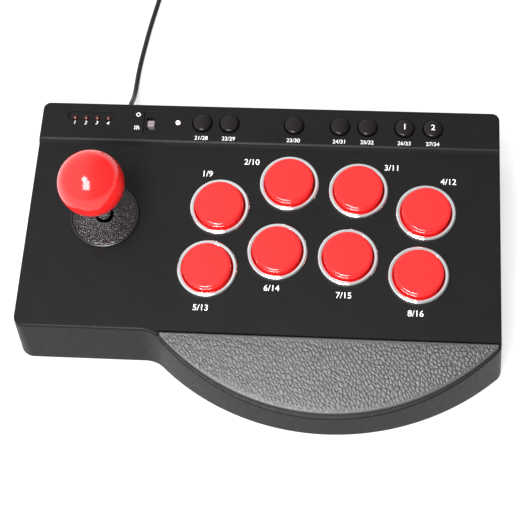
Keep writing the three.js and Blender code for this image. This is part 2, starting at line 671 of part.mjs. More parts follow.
/** A clear lamp: a peg through the case on a bar or a disc under it. */
const lampPeg = (x, y, top) => solid(pillar(LAMP_RADIUS, KEY_UNDERSIDE - GAP - JOIN, top, x, y));

function playerLamps() {
  const high = KEY_UNDERSIDE - GAP;
  const half = LAMP_BAR_WIDTH / 2;
  const bar = boxBetween(
    [playerLampX[0] - half, playerLampY - half, high - LAMP_BAR_THICKNESS],
    [playerLampX.at(-1) + half, playerLampY + half, high],
  );
  const top = STRIP_HEIGHT - LAMP_SLOT_DEPTH + GAP;
  return unite([solid(bar), ...playerLampX.map((x) => lampPeg(x, playerLampY, top))]);
}

function modeLamp() {
  const high = KEY_UNDERSIDE - GAP;
  const base = solid(pillar(2 * LAMP_RADIUS, high - LAMP_BAR_THICKNESS, high, MODE_LAMP_X, KEY_Y));
  return base.add(lampPeg(MODE_LAMP_X, KEY_Y, STRIP_HEIGHT + GAP));
}

const switchBodyTop = KEY_BOARD_TOP + GAP + SWITCH_BODY.height;

function modeSwitchBody() {
  const { width, length } = SWITCH_BODY;
  return solid(
    boxBetween(
      [SWITCH_X - width / 2, switchY - length / 2, KEY_BOARD_TOP + GAP],
      [SWITCH_X + width / 2, switchY + length / 2, switchBodyTop],
    ),
  );
}

function modeSwitchKnob() {
  const { width, length, recess } = SWITCH_KNOB;
  return solid(
    boxBetween(
      [SWITCH_X - width / 2, switchY - length / 2, switchBodyTop + GAP],
      [SWITCH_X + width / 2, switchY + length / 2, STRIP_HEIGHT - recess],
    ),
  );
}

function keyBoard() {
  const half = KEY_BOARD_WIDTH / 2;
  const board = boxBetween(
    [playerLampX[0] - LAMP_BAR_WIDTH, KEY_Y - half, KEY_BOARD_TOP - BOARD_THICKNESS],
    [KEYS.at(-1).x + KEY_RADIUS + KEY_FLANGE, KEY_Y + half, KEY_BOARD_TOP],
  );
  const switches = KEYS.map((k) => tactSwitch(k.x, KEY_Y, KEY_TACT, KEY_BOARD_TOP));
  return unite([solid(board), ...switches]);
}

KEYS.forEach((k) => addPiece(deck, `key_${k.name}`, key(k), material.blackPlastic));
addPiece(deck, "player_lamps", playerLamps(), material.lens);
addPiece(deck, "mode_lamp", modeLamp(), material.lens);
addPiece(deck, "mode_switch_body", modeSwitchBody(), material.steel);
addPiece(deck, "mode_switch_knob", modeSwitchKnob(), material.grey);
addPiece(deck, "key_board", keyBoard(), material.board);

// ---- Lever, drawn about its own axis with z measured from the deck ----
const lever = new THREE.Group();
lever.position.set(LEVER.x, LEVER.y, 0);
deck.add(lever);

function ballTop() {
  const bore = SHAFT_RADIUS + GAP;
  const mouth = Math.asin(bore / BALL_RADIUS);
  const steps = 11;
  const arc = Array.from({ length: steps + 1 }, (_, i) => {
    const angle = mouth + ((Math.PI - mouth) * i) / steps;
    return [BALL_RADIUS * Math.sin(angle), BALL_HEIGHT - BALL_RADIUS * Math.cos(angle)];
  });
  const boreEnd = BALL_HEIGHT - BALL_RADIUS + SHAFT_IN_BALL + GAP;
  return solid(turned([[0, boreEnd], [bore, boreEnd], ...arc]));
}

function dustWasher() {
  const top = WASHER_BOTTOM + WASHER_THICKNESS;
  const profile = [
    [WASHER_HOLE, WASHER_BOTTOM],
    [WASHER_RADIUS - WASHER_RIM, WASHER_BOTTOM],
    [WASHER_RADIUS - WASHER_RIM, FELT.bottom],
    [WASHER_RADIUS, FELT.bottom],
    [WASHER_RADIUS, top - WASHER_BEAD.edge],
    [WASHER_RADIUS - WASHER_RIM / 2, top + WASHER_BEAD.rise],
    [WASHER_RADIUS - WASHER_RIM, top],
    [WASHER_HOLE, top],
    [WASHER_HOLE, WASHER_BOTTOM],
  ];
  return solid(turned(profile));
}

function gimbalRing() {
  const z = -PIVOT_DEPTH;
  const half = GIMBAL.height / 2;
  const ring = solid(turned(ringProfile(GIMBAL_INNER, GIMBAL_OUTER, z - half, z + half)));
  const pinStart = (GIMBAL_INNER + GIMBAL_OUTER) / 2;
  const pins = [1, -1].map((side) =>
    solid(pin("x", PIN_RADIUS, pinStart, GIMBAL_OUTER + PIN_REACH, z).scale(side, 1, 1)),
  );
  const bore = solid(pin("y", PIN_RADIUS + GAP, -GIMBAL_OUTER - PAST, GIMBAL_OUTER + PAST, z));
  return unite([ring.subtract(bore), ...pins]);
}

function pivotBlock() {
  const z = -PIVOT_DEPTH;
  const half = PIVOT_BLOCK.height / 2;
  const body = solid(pillar(PIVOT_RADIUS, z - half, z + half));
  const cross = solid(pin("y", PIN_RADIUS, -GIMBAL_OUTER + GAP, GIMBAL_OUTER - GAP, z));
  const bore = solid(pillar(SHAFT_RADIUS + GAP, z - half - PAST, z + half + PAST));
  return unite([body, cross]).subtract(bore);
}

function leverMount() {
  const half = MOUNT_SIZE / 2;
  const low = -MOUNT_TOP - MOUNT_THICKNESS;
  const plate = solid(boxBetween([-half, -half, low], [half, half, -MOUNT_TOP]));
  const legs = [-1, 1].flatMap((i) =>
    [-1, 1].map((j) => {
      const [x, y] = [(i * (MOUNT_SIZE - MOUNT_LEG)) / 2, (j * (MOUNT_SIZE - MOUNT_LEG)) / 2];
      const side = MOUNT_LEG / 2 - GAP;
      return solid(boxBetween([x - side, y - side, -GATE_TOP + GAP], [x + side, y + side, low + JOIN]));
    }),
  );
  const earInner = GIMBAL_OUTER + MOUNT_EAR.clearance;
  const earOuter = GIMBAL_OUTER + PIN_REACH + MOUNT_EAR.past;
  const earBottom = -PIVOT_DEPTH - PIN_RADIUS - MOUNT_EAR.below;
  const earHalf = MOUNT_EAR.width / 2;
  const ears = [1, -1].map((side) =>
    solid(boxBetween([earInner, -earHalf, earBottom], [earOuter, earHalf, low + JOIN]).scale(side, 1, 1)),
  );
  const window = solid(pillar(GIMBAL_OUTER - PAST, low - PAST, 0, 0, 0, ROUND));
  const bores = solid(pin("x", PIN_RADIUS + GAP, -half, half, -PIVOT_DEPTH));
  return cut(unite([plate, ...legs, ...ears]), [window, bores]);
}

/** How far from the lever's axis a round of the actuator reaches at full tilt. */
const reachAt = (radius, depth) =>
  radius * Math.cos(LEVER_TILT) + (depth - PIVOT_DEPTH) * Math.sin(LEVER_TILT);
const NOSE_RADIUS = SHAFT_RADIUS + ACTUATOR.wall;
const FLANGE_RADIUS = SHAFT_RADIUS + ACTUATOR.flange;
const GATE_OPENING = reachAt(NOSE_RADIUS, ACTUATOR.noseEnd) + STOP_CLEARANCE;
const SWITCH_FACE = reachAt(FLANGE_RADIUS, ACTUATOR.flangeEnd) + STOP_CLEARANCE;

function restrictorGate() {
  const half = MOUNT_SIZE / 2;
  const [low, high] = [-GATE_TOP - GATE_THICKNESS, -GATE_TOP];
  const plate = solid(boxBetween([-half, -half, low], [half, half, high]));
  const side = GATE_OPENING;
  const opening = boxBetween([-side, -side, low - PAST], [side, side, high + PAST]);
  return plate.subtract(solid(opening));
}

function actuator() {
  const bore = SHAFT_RADIUS + GAP;
  const collar = SHAFT_RADIUS + ACTUATOR.collar;
  const profile = [
    [bore, -ACTUATOR.noseEnd],
    [NOSE_RADIUS, -ACTUATOR.noseEnd],
    [NOSE_RADIUS, -ACTUATOR.flangeEnd],
    [FLANGE_RADIUS, -ACTUATOR.flangeEnd],
    [FLANGE_RADIUS, -ACTUATOR.top - ACTUATOR.bevel],
    [collar, -ACTUATOR.top],
    [bore, -ACTUATOR.top],
    [bore, -ACTUATOR.noseEnd],
  ];
  return solid(turned(profile));
}

function microswitch() {
  const { length, depth, height, nub } = MICROSWITCH;
  const low = -GATE_TOP + GAP;
  const face = SWITCH_FACE + nub;
  const body = solid(boxBetween([face, -length / 2, low], [face + depth, length / 2, low + height]));
  const { half, bottom, top, seat } = PLUNGER;
  const plunger = boxBetween([SWITCH_FACE, -half, low + bottom], [face + seat, half, low + top]);
  return body.add(solid(plunger));
}

function centringSpring() {
  const springRadius = SHAFT_RADIUS + SPRING.clearance + SPRING.wire;
  class Helix extends THREE.Curve {
    getPoint(t, target = new THREE.Vector3()) {
      const angle = 2 * Math.PI * SPRING.turns * t;
      const top = -PIVOT_DEPTH - PIVOT_BLOCK.height / 2 - GAP - 2 * SPRING.wire;
      const bottom = -ACTUATOR.top + GAP + 2 * SPRING.wire;
      return target.set(
        springRadius * Math.cos(angle),
        springRadius * Math.sin(angle),
        top + (bottom - top) * t,
      );
    }
  }
  const section = new THREE.Shape(arcPoints({ x: 0, y: 0 }, SPRING.wire, 0, (10 * Math.PI) / 6, 5));
  const options = { steps: 10 * SPRING.turns, extrudePath: new Helix(), bevelEnabled: false };
  return solid(new THREE.ExtrudeGeometry(section, options));
}

function retainingClip() {
  const top = -ACTUATOR.noseEnd - GAP;
  const outer = SHAFT_RADIUS + CLIP.wall;
  const ring = solid(turned(ringProfile(SHAFT_RADIUS + GAP, outer, top - CLIP.thickness, top)));
  const half = CLIP.mouth / 2;
  const mouth = boxBetween([-half, 0, top - CLIP.thickness - PAST], [half, outer + PAST, top + PAST]);
  return ring.subtract(solid(mouth));
}

const shaftTop = BALL_HEIGHT - BALL_RADIUS + SHAFT_IN_BALL;
const feltTop = FELT.bottom + FELT.thickness;
addPiece(lever, "lever_mount", leverMount(), material.blackPlastic);
addPiece(lever, "restrictor_gate", restrictorGate(), material.blackPlastic);
addPiece(lever, "gimbal_ring", gimbalRing(), material.steel);
addPiece(lever, "pivot_block", pivotBlock(), material.steel);
addPiece(lever, "lever_actuator", actuator(), material.blackPlastic);
addPiece(lever, "centring_spring", centringSpring(), material.steel);
addPiece(lever, "lever_shaft", solid(pillar(SHAFT_RADIUS, -SHAFT_END, shaftTop)), material.chrome);
addPiece(lever, "retaining_clip", retainingClip(), material.steel);
addPiece(lever, "ball_top", ballTop(), material.red);
addPiece(lever, "dust_washer", dustWasher(), material.blackPlastic);
addPiece(
  lever,
  "washer_felt",
  solid(turned(ringProfile(FELT_INNER, FELT_INNER + FELT.width, FELT.bottom, feltTop))),
  material.felt,
);
["right", "rear", "left", "front"].forEach((side, i) => {
  const mesh = addPiece(lever, `lever_switch_${side}`, microswitch(), material.blackPlastic);
  mesh.rotation.z = (i * Math.PI) / 2;
});

// ---- Cord ----

function strainRelief() {
  const start = REAR_Y - DRAFT * (CORD_EXIT.z - FOOT_HEIGHT) - WALL;
  const neck = RELIEF_RADIUS - GAP;
  const wallEnd = start + WALL + GAP;
  const end = CORD_ROUTE[0][1] - GAP;
  const collar = neck + RELIEF_COLLAR;
  const profile = [[0, start], [neck, start], [neck, wallEnd], [collar, wallEnd + GAP]];
  profile.push([collar, wallEnd + 2 * RELIEF_COLLAR], [CORD_RADIUS + RELIEF_TIP, end], [0, end]);
  const points = profile.map(([radius, y]) => new THREE.Vector2(radius, y));
  return solid(new THREE.LatheGeometry(points, SMALL_ROUND).translate(CORD_EXIT.x, 0, CORD_EXIT.z));
}

function cordTube() {
  const path = new THREE.CatmullRomCurve3(CORD_ROUTE.map((p) => new THREE.Vector3(...p)));
  const section = new THREE.Shape(arcPoints({ x: 0, y: 0 }, CORD_RADIUS, 0, (14 * Math.PI) / 8, 7));
  const options = { steps: 2 * CORD_ROUTE.length, extrudePath: path, bevelEnabled: false };
  return solid(new THREE.ExtrudeGeometry(section, options));
}

function coil() {
  const { x, y, inner, outer, height, bottom } = COIL;
  const bevel = 1;
  const profile = [
    [inner, bottom + bevel],
    [inner + bevel, bottom],
    [outer - bevel, bottom],
    [outer, bottom + bevel],
    [outer, bottom + height - bevel],
    [outer - bevel, bottom + height],
    [inner + bevel, bottom + height],
    [inner, bottom + height - bevel],
    [inner, bottom + bevel],
  ];
  return solid(turned(profile, x, y));
}

/** The plug lies behind the coil, on a short lead from its last turn, and points to the right. */
function plug() {
  const [width, thickness, length] = PLUG.grip;
  const [shellWidth, shellThickness, shellLength] = PLUG.shell;
  const y = COIL.y + COIL.outer - CORD_RADIUS;
  const z = COIL.bottom + thickness / 2;
  const besideCoil = Math.sqrt(COIL.outer ** 2 - (COIL.outer - 2 * CORD_RADIUS) ** 2);
  const leadStart = COIL.x + besideCoil + GAP;
  const neckStart = leadStart + PLUG.lead;
  const gripStart = neckStart + PLUG.neck;
  const gripEnd = gripStart + length;
  const rod = (thin, thick, x0, x1) =>
    solid(
      new THREE.CylinderGeometry(thick, thin, x1 - x0, SMALL_ROUND)
        .rotateZ(-Math.PI / 2)
        .translate((x0 + x1) / 2, y, z),
    );
  const block = (w, t, x0, x1) =>
    solid(boxBetween([x0, y - w / 2, z - t / 2], [x1, y + w / 2, z + t / 2]));
  return unite([
    rod(CORD_RADIUS, CORD_RADIUS, leadStart, neckStart + JOIN),
    rod(CORD_RADIUS + RELIEF_TIP, PLUG.neckRadius, neckStart, gripStart + JOIN),
    block(width, thickness, gripStart, gripEnd),
    block(shellWidth, shellThickness, gripEnd - JOIN, gripEnd + shellLength),
  ]);
}

addPiece(root, "strain_relief", strainRelief(), material.rubber);
addPiece(root, "usb_cord", cordTube(), material.cord);
addPiece(root, "usb_cord_coil", coil(), material.cord);
addPiece(root, "usb_plug", plug(), material.blackPlastic);

export default root;
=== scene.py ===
"""Looks of an arcade joystick panel, built around its packed frame, in metres with +Z up.

Each operator makes one piece or one group of like pieces. The sloping top of the case is called the
deck here, and pieces on it are placed in the deck's own frame: X across, Y up the slope, Z square to it.
"""
import json
import math
from functools import reduce

import bmesh
import bpy
import numpy as np
from bpy.props import FloatProperty, FloatVectorProperty, IntProperty, PointerProperty
from mathutils import Matrix, Vector
from mathutils.kdtree import KDTree


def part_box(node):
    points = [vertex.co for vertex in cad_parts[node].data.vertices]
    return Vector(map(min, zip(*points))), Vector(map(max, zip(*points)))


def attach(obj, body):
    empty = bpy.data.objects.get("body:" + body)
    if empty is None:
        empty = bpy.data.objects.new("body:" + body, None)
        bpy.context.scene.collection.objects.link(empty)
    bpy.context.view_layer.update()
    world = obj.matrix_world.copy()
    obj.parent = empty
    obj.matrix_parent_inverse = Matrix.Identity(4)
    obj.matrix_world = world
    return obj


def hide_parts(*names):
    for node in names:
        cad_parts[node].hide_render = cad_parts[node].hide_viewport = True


bl_info = {
    "name": "Arcade Joystick Panel",
    "version": (1, 0, 0),
    "blender": (4, 5, 0),
    "location": "3D Viewport > Sidebar > Joystick",
    "description": "Builds the looks of an arcade joystick panel around its packed frame",
    "category": "Object",
}

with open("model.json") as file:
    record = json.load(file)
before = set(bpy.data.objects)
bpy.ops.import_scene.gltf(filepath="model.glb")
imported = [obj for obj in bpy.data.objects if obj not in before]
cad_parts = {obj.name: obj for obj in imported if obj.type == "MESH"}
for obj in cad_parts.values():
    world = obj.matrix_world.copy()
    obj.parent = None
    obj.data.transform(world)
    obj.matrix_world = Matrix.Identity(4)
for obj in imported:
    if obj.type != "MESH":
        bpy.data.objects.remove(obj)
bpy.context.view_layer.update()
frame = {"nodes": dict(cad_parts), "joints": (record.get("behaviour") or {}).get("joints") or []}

BUTTONS = [f"{row}_{place}" for row in ("upper", "lower") for place in (1, 2, 3, 4)]
KEYS = ["turbo", "combo", "home", "share", "options", "left_stick", "right_stick"]
SCREWS = [f"case_screw_{i}" for i in (1, 2, 3, 4)]
FEET = ["foot_rear_left", "foot_rear_right", "foot_front_left", "foot_front_right", "foot_hand_rest"]

# The cord's route from the strain relief to its coil.
CORD_ROUTE = [
    (-0.0880, 0.1042, 0.0160),
    (-0.0880, 0.1090, 0.0152),
    (-0.0881, 0.1140, 0.0129),
    (-0.0882, 0.1190, 0.0096),
    (-0.0884, 0.1240, 0.0064),
    (-0.0886, 0.1295, 0.0038),
    (-0.0888, 0.1360, 0.0022),
    (-0.0888, 0.1440, 0.0016),
    (-0.0883, 0.1530, 0.0016),
    (-0.0875, 0.1620, 0.0016),
    (-0.0866, 0.1710, 0.0016),
    (-0.0856, 0.1800, 0.0016),
    (-0.0844, 0.1890, 0.0016),
    (-0.0831, 0.1980, 0.0016),
    (-0.0820, 0.2060, 0.0016),
    (-0.0816, 0.2130, 0.0016),
    (-0.0821, 0.2200, 0.0016),
]

RING_HOLE = 0.01515  # radius of the deck's hole for a button ring
LEVER_HOLE = 0.00916
LAMP_HOLE = 0.0015
KEY_GAP = 0.00035  # round a key in its hole
SCREW_BORE = 0.00175
POST_RADIUS = 0.0035  # of the posts that the case screws go into
POST_FOOT, POST_TOP = 0.0048, 0.2  # the posts' lower end, and a height over the case
PAST = 0.001  # how far a cutter passes a surface
OVER = 0.002  # the same, where its top is chamfered
PRINT_THICKNESS = 0.00002  # half the thickness of the printed marks
BAR_WIDTH = 0.0005


# ---- Sizes and colours that a user would change ----


def length(name, value, about):
    return FloatProperty(name=name, description=about, default=value, unit="LENGTH", subtype="DISTANCE")


def colour(name, value, about):
    return FloatVectorProperty(
        name=name, description=about, default=value, size=3, min=0, max=1, subtype="COLOR"
    )


class CaseSizes(bpy.types.PropertyGroup):
    """Sizes of the moulded case."""

    body_depth: length("Body depth", 0.1388, "Front wall to rear wall along the bottom edge")
    front_height: length("Front height", 0.034, "Bottom of the case to the deck's front edge")
    draft: FloatProperty(name="Draft", description="Lean of the walls", default=0.075, subtype="FACTOR")
    corner_radius: length("Corner radius", 0.008, "Upright corners of the case")
    edge_round: length("Edge rounding", 0.0012, "Rounding of the deck's outer edge")
    rest_round: length("Rest rounding", 0.0006, "Rounding of the hand rest's lip")
    ridge_round: length("Ridge rounding", 0.0009, "Rounding of the rear strip's ridge")
    step_round: length("Step rounding", 0.0003, "Rounding of the deck's edge over the pad")
    bottom_round: length("Bottom rounding", 0.0006, "Rounding of the lower edge")
    strip_depth: length("Strip depth", 0.0228, "Raised strip along the deck's rear edge")
    strip_height: length("Strip height", 0.0022, "Height of the strip over the deck")
    strip_slope: length("Strip slope", 0.002, "Run of the slope between deck and strip")
    wall: length("Wall", 0.0025, "Thickness of the moulding")
    rest_projection: length("Rest projection", 0.0391, "How far the hand rest stands out")
    rest_left: length("Rest left", 0.0766, "Left wall to where the arc meets the front wall")
    rest_overrun: length("Rest overrun", 0.0012, "How far the arc's chord passes the right wall")
    rest_fillet: length("Rest fillet", 0.015, "Hollow curve between front wall and arc")
    rest_slope: FloatProperty(
        name="Rest slope", description="Fall of the hand rest", default=math.radians(20), subtype="ANGLE"
    )
    rest_step: length("Rest step", 0.001, "Drop from the deck's edge to the hand rest")
    rest_rim: length("Rest rim", 0.001, "Rim left round the pad")
    rest_floor: length("Rest floor", 0.0042, "Thickness of the case under the hand rest")
    recess: length("Recess", 0.0018, "Depth of the pad's recess")
    clearance: length("Clearance", 0.0004, "Gap between the pad and its recess")


class PadSizes(bpy.types.PropertyGroup):
    """Sizes of the hand-rest pad and its leather grain."""

    below: length("Below", 0.0015, "Underside of the pad under the hand rest's plane")
    above: length("Above", 0.0006, "Edge of the pad over the hand rest's plane")
    crown: length("Crown", 0.0005, "Rise of the pad's middle over its edge")
    edge_round: length("Edge rounding", 0.0008, "Rounding of the pad's edge")
    grain: length("Grain", 0.0017, "Width of the leather's cells")
    grain_depth: length("Grain depth", 0.00026, "Depth of the creases between the cells")


class ControlSizes(bpy.types.PropertyGroup):
    """Sizes of the buttons, keys, lamps and lever."""

    ring_lip: length("Ring lip", 0.0031, "Width of a button ring's flange")
    ring_lean: length("Ring lean", 0.0007, "How far the flange's outer face leans in")
    ring_dip: length("Ring dip", 0.0001, "Fall of the flange towards the plunger")
    ring_round: length("Ring rounding", 0.0009, "Rounding of the flange's edges")
    cap_round: length("Cap rounding", 0.0015, "Rounding of a plunger's upper edge")
    cap_crown: length("Cap crown", 0.00015, "Rise of a plunger's middle")
    key_round: length("Key rounding", 0.0009, "Rounding of a key's upper edge")
    key_crown: length("Key crown", 0.0006, "Rise of a key's middle")
    lamp_crown: length("Lamp crown", 0.0005, "Rise of a lamp's dome")
    pebble: length("Pebble", 0.00115, "Width of the pebbles on the dust washer")
    pebble_height: length("Pebble height", 0.0004, "Height of those pebbles")


class CordSizes(bpy.types.PropertyGroup):
    """Sizes of the cord and its coil."""

    diameter: length("Diameter", 0.003, "Thickness of the cord")
    pitch: length("Pitch", 0.00305, "Distance between turns that lie side by side or on each other")
    layers: IntProperty(name="Layers", description="Layers of turns in the coil", default=4)
    turns: IntProperty(name="Turns", description="Turns in each layer", default=4)


class Finishes(bpy.types.PropertyGroup):
    """Colours of the finishes."""

    case: colour("Case", (0.0058, 0.0057, 0.0062), "Black moulded plastic")
    pad: colour("Pad", (0.055, 0.052, 0.05), "Grey leather-grain mat")
    # Painted shade: the mat is coloured this dark at the bottom of its creases, for the shade that falls in
    # them.
    crease: colour("Crease", (0.006, 0.0055, 0.005), "Bottom of the mat's creases")
    red: colour("Red", (0.84, 0.017, 0.017), "Ball and plungers")
    chrome: colour("Chrome", (0.86, 0.87, 0.88), "Button rings and shaft")
    steel: colour("Steel", (0.5, 0.5, 0.51), "Plain steel")
    key: colour("Key", (0.007, 0.0048, 0.0056), "Small keys")
    ink: colour("Ink", (0.83, 0.83, 0.82), "Printed numbers")
    lamp: colour("Lamp", (0.07, 0.005, 0.004), "Lamps")
    board: colour("Board", (0.012, 0.09, 0.035), "Circuit boards")
    slider: colour("Slider", (0.28, 0.23, 0.235), "Slide switch")
    rubber: colour("Rubber", (0.014, 0.014, 0.015), "Feet, cord and its strain relief")


# ---- Places that come from the frame ----


def deck_matrix(y, z):
    """The deck's own frame, with its origin at the middle of the deck's front edge."""
    down = next(Vector(j["axis"]) for j in frame["joints"] if j["name"] == "press_upper_1")
    normal = -down.normalized()
    across = Vector((1, 0, 0))
    slope = normal.cross(across)
    return Matrix.Translation((0, y, z)) @ Matrix((across, slope, normal)).transposed().to_4x4()


class CasePlan:
    """The case's walls and surfaces, worked out from its sizes and the packed frame."""

    def __init__(self, sizes):
        self.sizes = s = sizes
        low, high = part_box("top_case")
        self.bottom, self.half_width, self.rear = low.z, high.x, high.y
        self.front = self.rear - s.body_depth
        self.deck_z = self.bottom + s.front_height
        self.deck_y = self.front + s.draft * s.front_height
        self.matrix = deck_matrix(self.deck_y, self.deck_z)
        self.tilt = math.atan2(self.matrix[2][1], self.matrix[1][1])
        c, t = math.cos(self.tilt), math.sin(self.tilt)
        reach = self.rear - self.deck_y + s.strip_height * t
        reach -= s.draft * (s.front_height + s.strip_height * c)
        self.deck_length = reach / (c + s.draft * t)
        chord = 2 * self.half_width - s.rest_left + s.rest_overrun
        self.rest_radius = (chord**2 / 4 + s.rest_projection**2) / (2 * s.rest_projection)
        self.rest_centre = Vector(
            (s.rest_left - self.half_width + chord / 2, self.front - s.rest_projection + self.rest_radius)
        )
        span = self.rest_radius + s.rest_fillet
        drop = self.rest_centre.y - self.front + s.rest_fillet
        self.fillet_centre = Vector(
            (self.rest_centre.x - math.sqrt(span**2 - drop**2), self.front - s.rest_fillet)
        )
        self.to_arc = (self.rest_centre - self.fillet_centre).normalized()
        self.step_x = (self.fillet_centre + self.to_arc * s.rest_fillet).x

    def outline(self, inset, detail=1.0):
        """The plan outline, counter-clockwise, with the walls moved in by inset."""
        s = self.sizes
        quarter = math.pi / 2
        corner = max(s.corner_radius - inset, 0.0005)
        x, rear = self.half_width - inset - corner, self.rear - inset - corner
        front = self.front + inset + corner
        centre, radius = self.rest_centre, self.rest_radius - inset
        end_y = centre.y - math.sqrt((radius - corner) ** 2 - (x - centre.x) ** 2)
        end = math.atan2(end_y - centre.y, x - centre.x)
        start = math.atan2(-self.to_arc.y, -self.to_arc.x)
        to_arc = math.atan2(self.to_arc.y, self.to_arc.x)
        steps = [max(3, round(n * detail)) for n in (10, 14, 110)]
        return [
            *arc((-x, front), corner, 2 * quarter, 3 * quarter, steps[0]),
            *arc(self.fillet_centre, s.rest_fillet + inset, quarter, to_arc, steps[1]),
            *arc(centre, radius, start, end, steps[2])[1:],
            *arc((x, end_y), corner, end, 0, steps[0])[1:],
            *arc((x, rear), corner, 0, quarter, steps[0]),
            *arc((-x, rear), corner, quarter, 2 * quarter, steps[0]),
        ]

    def prism(self, name, z0, z1, inset=0.0, detail=1.0):
        """The solid between two heights, whose walls lean in as the case's do."""
        rings = []
        for z in (z0, z1):
            lean = self.sizes.draft * (z - self.bottom)
            rings.append([(x, y, z) for x, y in self.outline(inset + lean, detail)])
        return loft(name, rings)

    def rest_height(self, y, drop=0.0):
        """Height of the hand rest's plane, drop below it."""
        s = self.sizes
        return self.deck_z - s.rest_step + math.tan(s.rest_slope) * (y - self.deck_y) - drop

    def deck_point(self, y, z):
        p = self.matrix @ Vector((0, y, z))
        return p.y, p.z

    def block(self, name, inset, deck_drop, rest_drop, detail=1.0):
        """The case as a full block: inset walls, the deck lowered by one drop, the rest by another."""
        s, far = self.sizes, 4 * self.half_width
        ridge = self.deck_length - s.strip_depth
        top = self.prism(name, self.bottom - inset, self.deck_z + s.front_height, inset, detail)
        side = [
            (far, -far),
            (-far, -far),
            self.deck_point(-far, -deck_drop),
            self.deck_point(ridge - s.strip_slope, -deck_drop),
            self.deck_point(ridge, s.strip_height - deck_drop),
            self.deck_point(far, s.strip_height - deck_drop),
        ]
        combine(top, side_solid("under_deck", side, -far, far), "INTERSECT")
        edge = self.deck_y + inset
        over_rest = [
            (edge, self.rest_height(edge, rest_drop)),
            (edge, far),
            (-far, far),
            (-far, self.rest_height(-far, rest_drop)),
        ]
        combine(top, side_solid("over_rest", over_rest, self.step_x + inset, far))
        return top

    def pad_loop(self, grow, columns, rows):
        """The pad's plan, grown by some amount: its arc, right end, rear edge and left end in turn."""
        s = self.sizes
        inset = s.draft * (self.rest_height(self.front) - self.bottom) + s.rest_rim + s.clearance - grow
        centre, radius = self.rest_centre, self.rest_radius - inset
        rear = self.deck_y - s.clearance + grow
        half = math.sqrt(radius**2 - (centre.y - rear + s.clearance) ** 2)
        left = max(self.step_x + s.rest_rim / 2 + s.clearance - grow, centre.x - half)
        right = min(self.half_width - inset, centre.x + half)
        xs = np.linspace(left, right, columns + 1)
        ys = centre.y - np.sqrt(radius**2 - (xs - centre.x) ** 2)
        shares = np.arange(1, rows) / rows
        along = list(zip(xs, ys))
        rise = [(right, rear + (ys[-1] - rear) * v) for v in shares[::-1]]
        back = [(x, rear) for x in xs[::-1]]
        fall = [(left, rear + (ys[0] - rear) * v) for v in shares]
        return along + rise + back + fall


def case_plan():
    return CasePlan(bpy.context.scene.joystick_case)


def deck_points(node, plan):
    """A CAD node's points in the deck's own frame."""
    to_deck = plan.matrix.inverted()
    return [to_deck @ v.co for v in frame["nodes"][node].data.vertices]


def deck_box(node, plan):
    """Lowest and highest corner of a CAD node in the deck's own frame."""
    points = np.array(deck_points(node, plan))
    return Vector(points.min(0)), Vector(points.max(0))


def radius_of(node, plan):
    """Half the width of a CAD node."""
    low, high = deck_box(node, plan)
    return (high.x - low.x) / 2


def deck_place(node, plan):
    """Middle of a CAD node on the deck, as x, y."""
    low, high = deck_box(node, plan)
    return (low.x + high.x) / 2, (low.y + high.y) / 2


def middle(node):
    low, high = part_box(node)
    return (low + high) / 2


def upright(node):
    """The place on the ground under a CAD node's middle."""
    return Matrix.Translation((*middle(node).to_2d(), 0))


# ---- Making meshes ----


def arc(centre, radius, start, end, steps):
    """Points along an arc, both ends included."""
    angles = np.linspace(start, end, steps + 1)
    return [(centre[0] + radius * math.cos(a), centre[1] + radius * math.sin(a)) for a in angles]


def new_object(name, data):
    made = bpy.data.objects.new(name, data)
    bpy.context.scene.collection.objects.link(made)
    return made


def remove(piece):
    data = piece.data
    bpy.data.objects.remove(piece)
    if data.users == 0:
        (bpy.data.meshes if isinstance(data, bpy.types.Mesh) else bpy.data.curves).remove(data)


def from_faces(name, points, faces, matrix=None):
    """A mesh piece with its doubles merged and its faces outwards."""
    mesh = bpy.data.meshes.new(name)
    mesh.from_pydata([tuple(p) for p in points], [], faces)
    if matrix is not None:
        mesh.transform(matrix)
    piece = new_object(name, mesh)
    clean(piece)
    return piece


def clean(piece, distance=1e-6):
    """Merges doubled points and turns the faces outwards."""
    bm = bmesh.new()
    bm.from_mesh(piece.data)
    bmesh.ops.remove_doubles(bm, verts=bm.verts, dist=distance)
    bmesh.ops.dissolve_degenerate(bm, edges=bm.edges, dist=distance / 10)
    bmesh.ops.recalc_face_normals(bm, faces=bm.faces)
    bm.to_mesh(piece.data)
    bm.free()


def loft(name, rings, matrix=None):
    """A closed solid through loops that have as many points as each other."""
    count = len(rings[0])
    points = [p for ring in rings for p in ring]
    last = (len(rings) - 1) * count
    faces = [list(range(count))[::-1], list(range(last, last + count))]
    for base in range(0, last, count):
        for i in range(count):
            j = (i + 1) % count
            faces.append([base + i, base + j, base + count + j, base + count + i])
    return from_faces(name, points, faces, matrix)


def side_solid(name, outline, x0, x1):
    """A side view of y, z points, carried across from x0 to x1."""
    return loft(name, [[(x, y, z) for y, z in outline] for x in (x0, x1)])


def block(name, low, high, matrix=None):
    """A box between two corners."""
    (x0, y0, z0), (x1, y1, z1) = low, high
    corners = [(x0, y0), (x1, y0), (x1, y1), (x0, y1)]
    return loft(name, [[(x, y, z) for x, y in corners] for z in (z0, z1)], matrix)


def lathe(name, profile, matrix=None, sides=64):
    """A piece turned about Z. A profile that starts on the axis ends on it; any other closes on itself."""
    rings = len(profile)
    closed = profile[0][0] > 0
    turns = np.arange(sides) * 2 * math.pi / sides
    points = [(r * math.cos(a), r * math.sin(a), z) for r, z in profile for a in turns]
    faces = []
    for k in range(rings if closed else rings - 1):
        below, above = k * sides, ((k + 1) % rings) * sides
        for i in range(sides):
            j = (i + 1) % sides
            faces.append([below + i, below + j, above + j, above + i])
    return from_faces(name, points, faces, matrix)


def rod(name, radius, z0, z1, matrix=None, sides=48):
    return lathe(name, [(0, z0), (radius, z0), (radius, z1), (0, z1)], matrix, sides)


